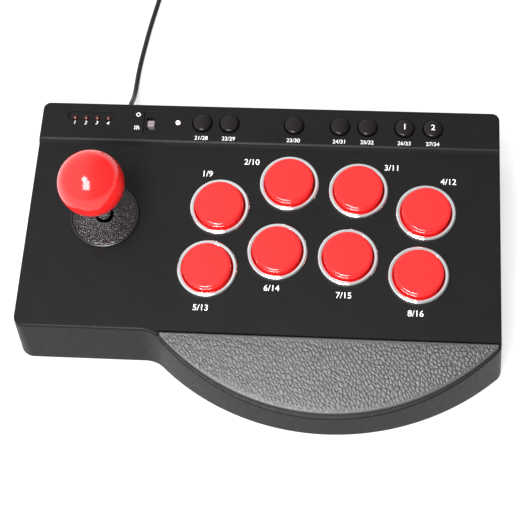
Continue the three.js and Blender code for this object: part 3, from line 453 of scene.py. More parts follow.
def settle(piece):
    """Turns what a piece's modifiers make into its mesh."""
    evaluated = piece.evaluated_get(bpy.context.evaluated_depsgraph_get())
    mesh = bpy.data.meshes.new_from_object(evaluated)
    old = piece.data
    piece.modifiers.clear()
    piece.data = mesh
    bpy.data.meshes.remove(old)
    return piece


def combine(piece, cutter, operation="DIFFERENCE"):
    """Cuts or joins a piece with another, which is used up."""
    modifier = piece.modifiers.new("combine", "BOOLEAN")
    modifier.operation = operation
    modifier.solver = "EXACT"
    modifier.object = cutter
    bpy.context.view_layer.update()
    settle(piece)
    remove(cutter)
    return piece


def joined(name, parts):
    """Several pieces as one, with their materials kept in order."""
    materials = []
    bm = bmesh.new()
    for part in parts:
        start = len(bm.faces)
        bm.from_mesh(part.data)
        bm.faces.ensure_lookup_table()
        indices = []
        for material in part.data.materials or [None]:
            if material not in materials:
                materials.append(material)
            indices.append(materials.index(material))
        for face in bm.faces[start:]:
            face.material_index = indices[min(face.material_index, len(indices) - 1)]
    mesh = bpy.data.meshes.new(name)
    bm.to_mesh(mesh)
    bm.free()
    for material in materials:
        mesh.materials.append(material)
    for part in parts:
        remove(part)
    return new_object(name, mesh)


def rounded(piece, width, choose, segments=4):
    """Rounds a piece's convex edges: choose gives the radius for two faces that meet, or nothing."""
    bm = bmesh.new()
    bm.from_mesh(piece.data)
    bmesh.ops.dissolve_degenerate(bm, edges=bm.edges, dist=1e-6)
    weights = bm.edges.layers.float.new("bevel_weight_edge")
    for edge in bm.edges:
        if len(edge.link_faces) == 2 and edge.is_convex and edge.calc_face_angle() > math.radians(18):
            edge[weights] = (choose(*edge.link_faces) or 0) / width
    bm.to_mesh(piece.data)
    bm.free()
    modifier = piece.modifiers.new("round", "BEVEL")
    modifier.limit_method = "WEIGHT"
    modifier.width = width
    modifier.segments = segments
    modifier.use_clamp_overlap = False
    return settle(piece)


def sliced(piece, places):
    """Cuts a piece's faces across at several x, so that no face goes round a whole hole."""
    bm = bmesh.new()
    bm.from_mesh(piece.data)
    for x in places:
        everything = [*bm.verts, *bm.edges, *bm.faces]
        bmesh.ops.bisect_plane(bm, geom=everything, plane_co=(x, 0, 0), plane_no=(1, 0, 0), dist=1e-7)
    bm.to_mesh(piece.data)
    bm.free()


def finished(piece, body, material=None, replaces=(), crease=35):
    mesh = piece.data
    if material is not None:
        mesh.materials.clear()
        mesh.materials.append(material)
    mesh.shade_smooth()
    mesh.set_sharp_from_angle(angle=math.radians(crease))
    modifier = piece.modifiers.new("normals", "WEIGHTED_NORMAL")
    modifier.keep_sharp = True
    settle(piece)
    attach(piece, body)
    if replaces:
        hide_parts(*replaces)
    return piece


def cell_creases(points, size, seed, stretch=1.0, turn=0.0):
    """How far each x, y point is from the creases of a random cell pattern, in cell widths."""
    c, s = math.cos(turn), math.sin(turn)
    flat = np.array(points, float)[:, :2] @ np.array([[c, -s], [s, c]])
    flat = flat / (size * stretch, size)
    low, high = np.floor(flat.min(0)) - 2, np.ceil(flat.max(0)) + 2
    across, along = (np.arange(a, b) for a, b in zip(low, high))
    seeds = np.stack(np.meshgrid(across, along), -1).reshape(-1, 2)
    seeds = seeds + np.random.default_rng(seed).uniform(0.0, 0.95, seeds.shape)
    tree = KDTree(len(seeds))
    for i, (x, y) in enumerate(seeds):
        tree.insert((x, y, 0), i)
    tree.balance()
    found = [tree.find_n((x, y, 0), 2) for x, y in flat]
    return np.array([second[2] - first[2] for first, second in found])


# ---- Geometry Nodes trees ----


class Tree:
    """A Geometry Nodes tree under construction. Its inputs are given by their defaults."""

    def __init__(self, name, **inputs):
        self.group = bpy.data.node_groups.new(name, "GeometryNodeTree")
        faces = self.group.interface
        faces.new_socket("Geometry", in_out="INPUT", socket_type="NodeSocketGeometry")
        for label, default in inputs.items():
            kind = {float: "Float", int: "Int"}.get(type(default), "Material")
            label = label.replace("_", " ")
            socket = faces.new_socket(label, in_out="INPUT", socket_type=f"NodeSocket{kind}")
            if default is not None:
                socket.default_value = default
        faces.new_socket("Geometry", in_out="OUTPUT", socket_type="NodeSocketGeometry")
        self.inputs = self.group.nodes.new("NodeGroupInput").outputs

    def add(self, kind, sockets, **settings):
        """A node with its sockets set or linked, by name or by index; gives its first output."""
        node = self.group.nodes.new(kind)
        for name, value in settings.items():
            setattr(node, name, value)
        for name, value in sockets.items():
            if isinstance(value, bpy.types.NodeSocket):
                self.group.links.new(value, node.inputs[name])
            else:
                node.inputs[name].default_value = value
        return node.outputs[0]

    def maths(self, operation, *values):
        return self.add("ShaderNodeMath", dict(enumerate(values)), operation=operation)

    def vector(self, x=0.0, y=0.0, z=0.0):
        return self.add("ShaderNodeCombineXYZ", {"X": x, "Y": y, "Z": z})

    def spun(self, corners, fillet, cuts, sides):
        """A solid of revolution. Corners are four (radius, height) pairs; fillet is a field over them."""
        axis = 0.001  # radius of the circle that the section is carried round
        section = {}
        for i, (radius, height) in enumerate(corners):
            out = self.maths("SUBTRACT", radius, axis)
            section[f"Point {i + 1}"] = self.vector(out, self.maths("MULTIPLY", height, -1.0))
        outline = self.add("GeometryNodeCurvePrimitiveQuadrilateral", section, mode="POINTS")
        outline = self.add(
            "GeometryNodeFilletCurve", {"Curve": outline, "Count": 7, "Radius": fillet}, mode="POLY"
        )
        outline = self.add("GeometryNodeSubdivideCurve", {"Curve": outline, "Cuts": cuts})
        circle = self.add("GeometryNodeCurvePrimitiveCircle", {"Resolution": sides, "Radius": axis})
        made = self.add("GeometryNodeCurveToMesh", {"Curve": circle, "Profile Curve": outline})
        return self.add("GeometryNodeMergeByDistance", {"Geometry": made, "Distance": 1e-6})

    def corner(self, *indices):
        """A field that is 1 at the named corners of a section and 0 at the others."""
        index = self.add("GeometryNodeInputIndex", {})
        chosen = [self.maths("COMPARE", index, float(i), 0.1) for i in indices]
        return reduce(lambda a, b: self.maths("ADD", a, b), chosen)

    def ends(self, piece, tilt, material):
        """Sets the piece at every point, tilted about X, and makes the result real."""
        turn = self.vector(tilt)
        spread = self.add(
            "GeometryNodeInstanceOnPoints",
            {"Points": self.inputs["Geometry"], "Instance": piece, "Rotation": turn},
        )
        real = self.add("GeometryNodeRealizeInstances", {"Geometry": spread})
        dressed = self.add("GeometryNodeSetMaterial", {"Geometry": real, "Material": material})
        self.group.links.new(dressed, self.group.nodes.new("NodeGroupOutput").inputs[0])
        return self.group


def turned_tree():
    """Turned caps: a round post with a rounded upper edge and a crowned top, at every point."""
    tree = Tree(
        "turned_cap",
        Radius=0.01, Bottom=0.0, Top=0.01, Edge=0.001, Crown=0.0, Tilt=0.0, Sides=72,
        Material=None,
    )
    given = tree.inputs
    radius, bottom, top = (given[n] for n in ("Radius", "Bottom", "Top"))
    fillet = tree.maths("MULTIPLY", tree.corner(2), given["Edge"])
    corners = [(0.0, bottom), (radius, bottom), (radius, top), (0.0, top)]
    post = tree.spun(corners, fillet, 5, given["Sides"])
    place = tree.add("GeometryNodeInputPosition", {})
    split = tree.group.nodes.new("ShaderNodeSeparateXYZ")
    tree.group.links.new(place, split.inputs[0])
    x, y, z = split.outputs
    out = tree.maths("ADD", tree.maths("MULTIPLY", x, x), tree.maths("MULTIPLY", y, y))
    share = tree.maths("SUBTRACT", 1.0, tree.maths("DIVIDE", out, tree.maths("MULTIPLY", radius, radius)))
    rise = tree.maths("MULTIPLY", share, given["Crown"])
    tall = tree.maths("ABSOLUTE", tree.maths("SUBTRACT", top, bottom))
    near_top = tree.maths("COMPARE", z, top, tree.maths("MULTIPLY", tall, 0.5))
    lift = tree.vector(0.0, 0.0, tree.maths("MULTIPLY", rise, near_top))
    post = tree.add("GeometryNodeSetPosition", {"Geometry": post, "Offset": lift})
    return tree.ends(post, given["Tilt"], given["Material"])


def shared_tree():
    return bpy.data.node_groups.get("turned_cap") or turned_tree()


def ring_tree():
    """Rings with a leaning outer face and two rounded upper edges, at every point."""
    tree = Tree(
        "ring",
        Outer=0.01, Inner=0.008, Bottom=0.0, Top=0.002, Lean=0.0, Dip=0.0, Edge=0.0004, Tilt=0.0,
        Sides=96, Material=None,
    )
    given = tree.inputs
    outer, inner, bottom, top = (given[n] for n in ("Outer", "Inner", "Bottom", "Top"))
    fillet = tree.maths("MULTIPLY", tree.corner(2, 3), given["Edge"])
    shoulder = tree.maths("SUBTRACT", outer, given["Lean"])
    dipped = tree.maths("SUBTRACT", top, given["Dip"])
    corners = [(inner, bottom), (outer, bottom), (shoulder, top), (inner, dipped)]
    ring = tree.spun(corners, fillet, 0, given["Sides"])
    return tree.ends(ring, given["Tilt"], given["Material"])


def screw_tree():
    """Screws with a rounded head that points down and a cross-shaped recess in it, at every point."""
    tree = Tree(
        "screw",
        Head_Radius=0.003, Head_Height=0.0013, Radius=0.00145, Length=0.01, Cross=0.0034,
        Blade=0.0007, Material=None,
    )
    given = tree.inputs
    high = given["Head Height"]
    fillet = tree.maths("MULTIPLY", tree.corner(2), tree.maths("MULTIPLY", high, 0.45))
    corners = [(0.0, high), (given["Head Radius"], high), (given["Head Radius"], 0.0), (0.0, 0.0)]
    head = tree.spun(corners, fillet, 0, 48)
    head = tree.add("GeometryNodeFlipFaces", {"Mesh": head})
    depth = tree.maths("MULTIPLY", high, 1.1)
    blades = [
        tree.add("GeometryNodeMeshCube", {"Size": tree.vector(*size)})
        for size in ((given["Cross"], given["Blade"], depth), (given["Blade"], given["Cross"], depth))
    ]
    cross = tree.add("GeometryNodeMeshBoolean", {1: blades[0]}, operation="UNION", solver="EXACT")
    tree.group.links.new(blades[1], cross.node.inputs[1])
    cut = tree.add("GeometryNodeMeshBoolean", {0: head, 1: cross}, operation="DIFFERENCE", solver="EXACT")
    shank = tree.add(
        "GeometryNodeMeshCylinder", {"Vertices": 24, "Radius": given["Radius"], "Depth": given["Length"]}
    )
    lift = tree.maths("ADD", high, tree.maths("MULTIPLY", given["Length"], 0.5))
    lift = tree.vector(0.0, 0.0, lift)
    shank = tree.add("GeometryNodeTransform", {"Geometry": shank, "Translation": lift})
    both = tree.add("GeometryNodeJoinGeometry", {"Geometry": cut})
    tree.group.links.new(shank, both.node.inputs["Geometry"])
    return tree.ends(both, 0.0, given["Material"])


def grow(name, tree, places, values):
    """A plain mesh from a node tree that is run on loose points."""
    mesh = bpy.data.meshes.new(name)
    mesh.from_pydata([tuple(p) for p in places], [], [])
    piece = new_object(name, mesh)
    modifier = piece.modifiers.new("grow", "NODES")
    modifier.node_group = tree
    for item in tree.interface.items_tree:
        if item.item_type == "SOCKET" and item.in_out == "INPUT" and item.name in values:
            modifier[item.identifier] = values[item.name]
    bpy.context.view_layer.update()
    settle(piece)
    clean(piece)
    return piece


# ---- Finishes ----


class Shading:
    """A Principled material under construction. Its patterns read Object coordinates, in metres."""

    def __init__(self, name, base=None, **inputs):
        self.material = bpy.data.materials.new(name)
        self.material.use_nodes = True
        self.tree = self.material.node_tree
        self.shader = self.tree.nodes["Principled BSDF"]
        self.coords = self.add("ShaderNodeTexCoord", {}).outputs["Object"]
        self.normal = None
        if base is not None:
            self.shader.inputs["Base Color"].default_value = (*base, 1)
        for socket, value in inputs.items():
            self.shader.inputs[socket.replace("_", " ")].default_value = value

    def add(self, kind, sockets, **settings):
        node = self.tree.nodes.new(kind)
        for name, value in settings.items():
            setattr(node, name, value)
        for name, value in sockets.items():
            if isinstance(value, bpy.types.NodeSocket):
                self.tree.links.new(value, node.inputs[name])
            else:
                node.inputs[name].default_value = value
        return node

    def mapped(self, scale=(1, 1, 1), turn=(0, 0, 0)):
        """The coordinates turned, then stretched."""
        turned = self.add("ShaderNodeMapping", {"Vector": self.coords, "Rotation": turn}).outputs[0]
        return self.add("ShaderNodeMapping", {"Vector": turned, "Scale": scale}).outputs[0]

    def noise(self, scale, detail=3.0, vector=None):
        sockets = {"Vector": vector or self.coords, "Scale": scale, "Detail": detail}
        return self.add("ShaderNodeTexNoise", sockets).outputs["Fac"]

    def cells(self, scale, vector):
        sockets = {"Vector": vector, "Scale": scale}
        return self.add("ShaderNodeTexVoronoi", sockets, feature="DISTANCE_TO_EDGE").outputs["Distance"]

    def ramp(self, factor, *stops):
        """A colour or a grey value along a factor, from (place, value) stops."""
        node = self.add("ShaderNodeValToRGB", {"Fac": factor})
        elements = node.color_ramp.elements
        while len(elements) < len(stops):
            elements.new(0.5)
        for element, (place, value) in zip(elements, stops):
            element.position = place
            rgb = value if hasattr(value, "__len__") else (value, value, value)
            element.color = (*rgb, 1)
        return node.outputs["Color"]

    def drive(self, socket, value):
        self.tree.links.new(value, self.shader.inputs[socket])
        return self

    def mottled(self, base, scale, amount=0.15, detail=3.0):
        """Drives the base colour a little lighter and darker than base."""
        dark, light = ([c * (1 + k) for c in base] for k in (-amount, amount))
        return self.drive("Base Color", self.ramp(self.noise(scale, detail), (0.3, dark), (0.7, light)))

    def worn(self, low, high, scale):
        """Drives the roughness between two values."""
        return self.drive("Roughness", self.ramp(self.noise(scale, 4.0), (0.3, low), (0.7, high)))

    def bump(self, height, distance, strength=1.0):
        sockets = {"Height": height, "Distance": distance, "Strength": strength}
        if self.normal is not None:
            sockets["Normal"] = self.normal
        self.normal = self.add("ShaderNodeBump", sockets).outputs["Normal"]
        return self.drive("Normal", self.normal)


def case_plastic(c):
    s = Shading("case_plastic", Specular_IOR_Level=0.16)
    s.mottled(c.case, 55, 0.12).worn(0.4, 0.5, 350)
    s.bump(s.noise(5200, 2.0), 0.00002, 0.35)
    return s.bump(s.noise(45, 2.0), 0.0001, 0.06)


def leather(c):
    s = Shading("pad_leather", Specular_IOR_Level=0.46)
    grain = s.add("ShaderNodeAttribute", {}, attribute_name="grain").outputs["Fac"]
    # Painted shade: the base colour falls from the pad's colour to the crease colour down into the creases,
    # for the shade that falls in them.
    s.drive("Base Color", s.ramp(grain, (0.0, c.crease), (0.45, [v * 0.7 for v in c.pad]), (1.0, c.pad)))
    s.drive("Roughness", s.ramp(s.noise(900, 4.0), (0.3, 0.32), (0.7, 0.48)))
    s.bump(s.cells(1500, s.mapped((1, 0.7, 1), (0, 0, math.radians(58)))), 0.00008, 0.5)
    return s.bump(s.noise(4200, 3.0), 0.00003, 0.5)


def red_gloss(c):
    s = Shading("red_gloss", Coat_Weight=0.12, Coat_Roughness=0.03, Specular_IOR_Level=0.42)
    s.mottled(c.red, 120, 0.03).worn(0.1, 0.16, 420)
    return s.bump(s.noise(900, 2.0), 0.000002, 0.05)


def chrome(c):
    s = Shading("chrome", Metallic=1.0)
    s.mottled(c.chrome, 260, 0.04).worn(0.03, 0.07, 500)
    return s.bump(s.noise(420, 2.0), 0.00003, 0.05)


def steel(c):
    s = Shading("steel", Metallic=1.0)
    s.mottled(c.steel, 700, 0.15)
    brushed = s.noise(2200, 3.0, s.mapped((1, 1, 0.08)))
    s.drive("Roughness", s.ramp(brushed, (0.3, 0.28), (0.7, 0.44)))
    return s.bump(brushed, 0.00003, 0.25)


def key_gloss(c):
    s = Shading("key_gloss", Specular_IOR_Level=0.3)
    return s.mottled(c.key, 400, 0.15).worn(0.12, 0.2, 700).bump(s.noise(3000, 2.0), 0.00001, 0.15)


def washer_plastic(c):
    s = Shading("washer_plastic", Specular_IOR_Level=0.6)
    s.mottled(c.key, 900, 0.2).worn(0.2, 0.34, 1500)
    return s.bump(s.noise(3600, 3.0), 0.00004, 0.4)


def inner_plastic(c):
    s = Shading("inner_plastic")
    s.mottled([v * 1.6 for v in c.case], 200, 0.2).worn(0.42, 0.6, 500)
    return s.bump(s.noise(2500), 0.00004, 0.3)


def lamp_lens(c):
    s = Shading("lamp_lens", Coat_Weight=0.6, Coat_Roughness=0.05)
    return s.mottled(c.lamp, 1500, 0.3).worn(0.12, 0.2, 900)


def lamp_core(c):
    glow = (1.0, 0.72, 0.68)
    s = Shading("lamp_core", base=glow, Emission_Color=(*glow, 1), Emission_Strength=1.8)
    return s.mottled(glow, 4000, 0.08).worn(0.2, 0.35, 2000)


def ink(c):
    s = Shading("printed_ink")
    return s.mottled(c.ink, 3500, 0.1).worn(0.45, 0.6, 1500).bump(s.noise(7000), 0.00001, 0.3)


def circuit_board(c):
    s = Shading("circuit_board", Specular_IOR_Level=0.6)
    tracks = s.add("ShaderNodeTexBrick", {"Vector": s.coords, "Scale": 420.0, "Mortar Size": 0.06})
    mask = tracks.outputs["Fac"]
    s.drive("Base Color", s.ramp(mask, (0.0, c.board), (1.0, [v * 2.2 for v in c.board])))
    return s.worn(0.25, 0.4, 900).bump(mask, 0.00004, 0.6)


def slider_plastic(c):
    s = Shading("slider_plastic")
    return s.mottled(c.slider, 900, 0.1).worn(0.35, 0.5, 900).bump(s.noise(4000), 0.00002, 0.3)


def rubber(c):
    s = Shading("rubber", Specular_IOR_Level=0.35)
    return s.mottled(c.rubber, 500, 0.25).worn(0.62, 0.8, 900).bump(s.noise(4500, 4.0), 0.00004, 0.5)


def felt(c):
    s = Shading("felt", Sheen_Weight=0.5, Sheen_Roughness=0.6)
    fibres = s.noise(3800, 5.0, s.mapped((1, 0.3, 1)))
    return s.mottled(c.rubber, 1800, 0.35, 5.0).worn(0.85, 0.97, 900).bump(fibres, 0.0001, 0.8)


def cord_jacket(c):
    s = Shading("cord_jacket", Specular_IOR_Level=0.25)
    return s.mottled(c.rubber, 300, 0.15).worn(0.34, 0.46, 800).bump(s.noise(5200, 2.0), 0.00002, 0.3)


LOOKS = {}


def look(maker):
    """The material that a maker makes, made once."""
    if maker.__name__ not in LOOKS:
        LOOKS[maker.__name__] = maker(bpy.context.scene.joystick_finishes).material
    return LOOKS[maker.__name__]


# ---- Camera, lights and floor ----

EYE = Vector((0.06669, -0.35906, 0.68443))
EYE_FORWARD = Vector((-0.06795, 0.48070, -0.87425))
EYE_UP = Vector((-0.03325, 0.87469, 0.48353))
EYE_LENS = 94.36  # millimetres on a 36 mm sensor
EYE_SHIFT = -0.0556
DAYLIGHT = 1.1  # radiance of the surroundings on the left
DUSK = 0.25  # and on the right


def aimed(thing, place, forward, up):
    """Puts a camera or light in place, looking along forward."""
    back = -forward.normalized()
    right = up.cross(back).normalized()
    turn = Matrix((right, back.cross(right), back)).transposed().to_4x4()
    thing.matrix_world = Matrix.Translation(place) @ turn
    return thing


def make_camera():
    data = bpy.data.cameras.new("camera")
    data.sensor_width = 36
    data.lens = EYE_LENS
    data.shift_x = EYE_SHIFT
    data.clip_start, data.clip_end = 0.01, 50
    bpy.context.scene.camera = aimed(new_object("camera", data), EYE, EYE_FORWARD, EYE_UP)


def softbox(name, place, target, size, watts):
    data = bpy.data.lights.new(name, "AREA")
    data.shape = "RECTANGLE"
    data.size, data.size_y = size
    data.energy = watts
    place = Vector(place)
    return aimed(new_object(name, data), place, Vector(target) - place, Vector((0, 0, 1)))


def make_stage():
    scene = bpy.context.scene
    scene.view_settings.view_transform = "Standard"
    world = bpy.data.worlds.new("surroundings")
    world.use_nodes = True
    nodes, links = world.node_tree.nodes, world.node_tree.links
    direction = nodes.new("ShaderNodeTexCoord")
    split = nodes.new("ShaderNodeSeparateXYZ")
    links.new(direction.outputs["Generated"], split.inputs[0])
    fall = nodes.new("ShaderNodeMapRange")
    links.new(split.outputs["X"], fall.inputs["Value"])
    limits = {"From Min": -0.3, "From Max": 0.4, "To Min": DAYLIGHT, "To Max": DUSK}
    for socket, value in limits.items():
        fall.inputs[socket].default_value = value
    links.new(fall.outputs[0], nodes["Background"].inputs["Strength"])
    nodes["Background"].inputs["Color"].default_value = (1, 1, 1, 1)
    scene.world = world
    side = 8.0
    corners = [(-side, -side, 0), (side, -side, 0), (side, side, 0), (-side, side, 0)]
    mesh = bpy.data.meshes.new("floor")
    mesh.from_pydata(corners, [], [(0, 1, 2, 3)])
    floor = new_object("floor", mesh)
    paper = Shading("floor_paper", Emission_Color=(1, 1, 1, 1), Emission_Strength=0.66)
    paper.mottled((0.36, 0.36, 0.36), 3, 0.01).worn(0.8, 0.9, 30).bump(paper.noise(300), 0.0001, 0.1)
    mesh.materials.append(paper.material)
    ball = middle("ball_top")
    softbox("softbox_front", place=(-0.16, -0.72, 0.98), target=ball, size=(0.44, 0.64), watts=18)
    mat = (-0.05, -0.06, 0)
    softbox("softbox_mat", place=(-0.3, -0.38, 1.2), target=mat, size=(0.3, 0.3), watts=7)


# ---- Cord ----


def smooth_route(points, steps):
    """A centripetal curve through points, with so many steps between each two."""
    p = [Vector(q) for q in points]
    p = [2 * p[0] - p[1], *p, 2 * p[-1] - p[-2]]
    made = []
    for a, b, c, d in zip(p, p[1:], p[2:], p[3:]):
        spans = [max((v - u).length, 1e-9) ** 0.5 for u, v in ((a, b), (b, c), (c, d))]
        t0, t1, t2, t3 = 0, spans[0], spans[0] + spans[1], sum(spans)
        for i in range(steps):
            t = t1 + (t2 - t1) * i / steps
            one = a.lerp(b, (t - t0) / (t1 - t0))
            two = b.lerp(c, (t - t1) / (t2 - t1))
            three = c.lerp(d, (t - t2) / (t3 - t2))
            before, after = one.lerp(two, (t - t0) / (t2 - t0)), two.lerp(three, (t - t1) / (t3 - t1))
            made.append(before.lerp(after, (t - t1) / (t2 - t1)))
    return [*made, p[-2]]


def eased(share):
    share = min(max(share, 0.0), 1.0)
    return share * share * (3 - 2 * share)


def coil_turns(sizes):
    """The coil from where the cord reaches it to where it leaves: each layer winds in or out."""
    low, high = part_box("usb_cord_coil")
    centre = (low + high) / 2
    outer = (high.x - low.x - sizes.diameter) / 2
    inner = outer - (sizes.turns - 1) * sizes.pitch
    floor = low.z + sizes.diameter / 2
    start = Vector(CORD_ROUTE[-1]) - centre
    angle = math.atan2(start.y, start.x)
    reach = start.to_2d().length
    arrive, climb = 1.7, 0.9  # radians over which the cord closes on the coil, and rises by a layer
    across = 2 * math.pi * (sizes.turns - 1)
    whole = angle % (2 * math.pi) - math.pi / 2 + 2 * math.pi * (sizes.layers * sizes.turns - 1)
    level = whole - arrive - sizes.layers * across - (sizes.layers - 1) * climb
    level /= 2 * sizes.layers  # radians at one radius, before and after each layer winds across
    points = []

    def wind(span, radii, heights, course=eased):
        nonlocal angle
        steps = round(span / math.radians(10))
        for i in range(1, steps + 1):
            a = angle - span * i / steps
            share = course(i / steps)
            r = radii[0] + (radii[1] - radii[0]) * share
            z = heights[0] + (heights[1] - heights[0]) * share
            points.append(Vector((centre.x + r * math.cos(a), centre.y + r * math.sin(a), z)))
        angle -= span

    wind(arrive, (reach, outer), (floor, floor))
    height = floor
    for layer in range(sizes.layers):
        begin, end = (inner, outer) if layer % 2 else (outer, inner)
        wind(level, (begin, begin), (height, height))
        wind(across, (begin, end), (height, height), course=float)
        wind(level, (end, end), (height, height))
        if layer < sizes.layers - 1:
            wind(climb, (end, end), (height, height + sizes.pitch))
            height += sizes.pitch
    return points, centre, outer, height


def cord_line(sizes):
    """The whole cord's middle line, from the strain relief into the plug."""
    turns, centre, outer, height = coil_turns(sizes)
    low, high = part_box("usb_plug")
    plug = (low + high) / 2
    run = low.x + 0.013 - centre.x  # to just inside the plug's neck
    drop = plug.z - height
    descent = ((0.16, 0.0), (0.34, 0.07), (0.5, 0.3), (0.64, 0.62), (0.78, 0.88), (0.9, 0.98), (1, 1))
    tail = [
        Vector((centre.x + run * share, centre.y + outer, height + drop * fall)) for share, fall in descent
    ]
    lead = smooth_route([*CORD_ROUTE, turns[0]], 6)
    exit_line = smooth_route([turns[-1], *tail], 6)
    return [*lead, *turns[1:-1], *exit_line]


def make_cord():
    sizes = bpy.context.scene.joystick_cord
    line = cord_line(sizes)
    data = bpy.data.curves.new("usb_cord_whole", "CURVE")
    data.dimensions = "3D"
    data.bevel_depth = sizes.diameter / 2
    data.bevel_resolution = 3
    data.use_fill_caps = True
    data.twist_mode = "MINIMUM"
    spline = data.splines.new("POLY")
    spline.points.add(len(line) - 1)
    for point, place in zip(spline.points, line):
        point.co = (*place, 1)
    spline.use_smooth = True
    cord = new_object("usb_cord_whole", data)
    data.materials.append(look(cord_jacket))
    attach(cord, "case")
    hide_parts("usb_cord", "usb_cord_coil")
    plug = make_plug()
    relief = make_relief(sizes)


def make_relief(sizes):
    """Tapered strain relief with a collar and flexing ribs, from the rear wall outwards."""
    low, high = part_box("strain_relief")
    centre = middle("strain_relief")
    rim = (high.x - low.x) / 2
    neck = rim - 0.001
    tip = sizes.diameter / 2 + 0.0006
    wall_end = low.y + 0.0028
    collar_start, collar_end = wall_end + 0.0002, wall_end + 0.0014
    profile = [(0, low.y), (neck, low.y), (neck, wall_end), (rim, collar_start), (rim, collar_end)]
    ribs, groove_depth = 6, 0.82
    rib_end, groove_start, groove_end = 0.62, 0.66, 0.96  # shares of the distance between ribs
    first, last = wall_end + 0.0018, high.y - 0.0008
    width = (last - first) / ribs
    for i in range(ribs):
        at = first + (last - first) * i / ribs
        radius = neck + (tip - neck) * (i + 0.5) / ribs
        profile += [(radius, at), (radius, at + rib_end * width)]
        profile += [(radius * groove_depth, at + v * width) for v in (groove_start, groove_end)]
    profile += [(tip, last), (tip, high.y), (0, high.y)]
    turn = Matrix.Translation((centre.x, 0, centre.z)) @ Matrix.Rotation(-math.pi / 2, 4, "X")
    piece = lathe("strain_relief_ribbed", profile, turn, 40)
    return finished(piece, "case", look(rubber), ["strain_relief"])


def rounded_section(width, height, radius, steps=5):
    """A rectangle with round corners, as y, z points about the middle."""
    points = []
    for k, (sy, sz) in enumerate(((1, 1), (-1, 1), (-1, -1), (1, -1))):
        corner = (sy * (width / 2 - radius), sz * (height / 2 - radius))
        points += arc(corner, radius, k * math.pi / 2, (k + 1) * math.pi / 2, steps)
    return points


def make_plug():
    """USB plug: a moulded grip with finger ridges, a metal shell with two windows, and its tongue."""
    low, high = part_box("usb_plug")
    y, z = (low.y + high.y) / 2, (low.z + high.z) / 2
    width, thick = high.y - low.y, high.z - low.z
    shell_length, shell_width, shell_thick, sheet = 0.015, 0.012, 0.0045, 0.00035
    grip_length, neck_length = 0.021, 0.008
    grip_end = high.x - shell_length
    grip_start = grip_end - grip_length
    neck_start = grip_start - neck_length

    def section(x, w, t, r, drop=0.0):
        return [(x, y + dy, z - drop + dz) for dy, dz in rounded_section(w, t, r)]

    rings = [
        section(neck_start, 0.0042, 0.0042, 0.00205),
        section(grip_start - 0.001, 0.0066, 0.0066, 0.0030),
    ]
    # The grip's shape: distance from its start, and shares of its width and thickness there.
    shape = [(0.0, 0.62, 0.8), (0.0006, 0.75, 0.9), (0.002, 0.88, 0.97), (0.005, 1.0, 1.0)]
    ridges, first_ridge, ridge_pitch, ridge_waist = 5, 0.007, 0.0019, 0.955
    for i in range(ridges):
        at = first_ridge + ridge_pitch * i
        shape += [(at, 1.0, 1.0), (at + 0.0003, ridge_waist, 1.0)]
        shape += [(at + 0.0009, ridge_waist, 1.0), (at + 0.0012, 1.0, 1.0)]
    shape += [(0.0195, 1.0, 1.0), (0.0206, 0.97, 0.95), (grip_length, 0.92, 0.88)]
    rings += [section(grip_start + dx, width * w, thick * t, 0.0022) for dx, w, t in shape]
    grip = loft("usb_plug_grip", rings)
    finished(grip, "case", look(cord_jacket), ["usb_plug"], 30)
    shell_ends = (grip_end - 0.0004, high.x)
    shell = loft("usb_plug_shell", [section(x, shell_width, shell_thick, 0.0006) for x in shell_ends])
    bore_width, bore_thick = shell_width - 2 * sheet, shell_thick - 2 * sheet
    bore_ends = (grip_end + 0.001, high.x + 0.001)
    combine(shell, loft("inside", [section(x, bore_width, bore_thick, 0.0004) for x in bore_ends]))
    window, window_side, window_back = 0.0024, 0.0028, 0.0075
    for side in (-1, 1):
        middle_y = y + side * window_side
        low_corner = (high.x - window_back, middle_y - window / 2, z)
        high_corner = (high.x - window_back + window, middle_y + window / 2, z + thick)
        combine(shell, block("window", low_corner, high_corner))
    finished(shell, "case", look(steel), (), 30)
    tongue_width, tongue_thick, tongue_drop = shell_width - 0.0012, 0.0019, 0.0007
    tongue_ends = (grip_end + 0.0013, high.x - 0.0008)
    tongue = loft(
        "usb_plug_tongue",
        [section(x, tongue_width, tongue_thick, 0.0002, tongue_drop) for x in tongue_ends],
    )
    finished(tongue, "case", look(inner_plastic), (), 30)
    return [grip, shell, tongue]


# ---- Case ----


def on_deck(plan, x, y, z=0.0):
    return plan.matrix @ Matrix.Translation((x, y, z))


def slot_cutter(plan, x, y, width, depth, low, high, corner, flare=0.0):
    """A cutter for a slot on the deck with round corners, wider at the top by its flare."""
    rings = []
    for z, wider in ((low, 0.0), (high - flare, 0.0), (high, flare)):
        section = rounded_section(width + 2 * wider, depth + 2 * wider, corner + wider, 6)
        rings.append([(x + dx, y + dy, z) for dx, dy in section])
    rings.append([(px, py, high + OVER) for px, py, _ in rings[-1]])
    return loft("slot", rings, plan.matrix)


def hole_cutter(plan, x, y, radius, low, high, chamfer=0.0, sides=64):
    """A cutter for a round hole in the deck with a chamfer at its top."""
    profile = [(0, low), (radius, low), (radius, high - chamfer), (radius + chamfer, high)]
    profile += [(radius + chamfer, high + OVER), (0, high + OVER)]
    return lathe("hole", profile, on_deck(plan, x, y), sides)


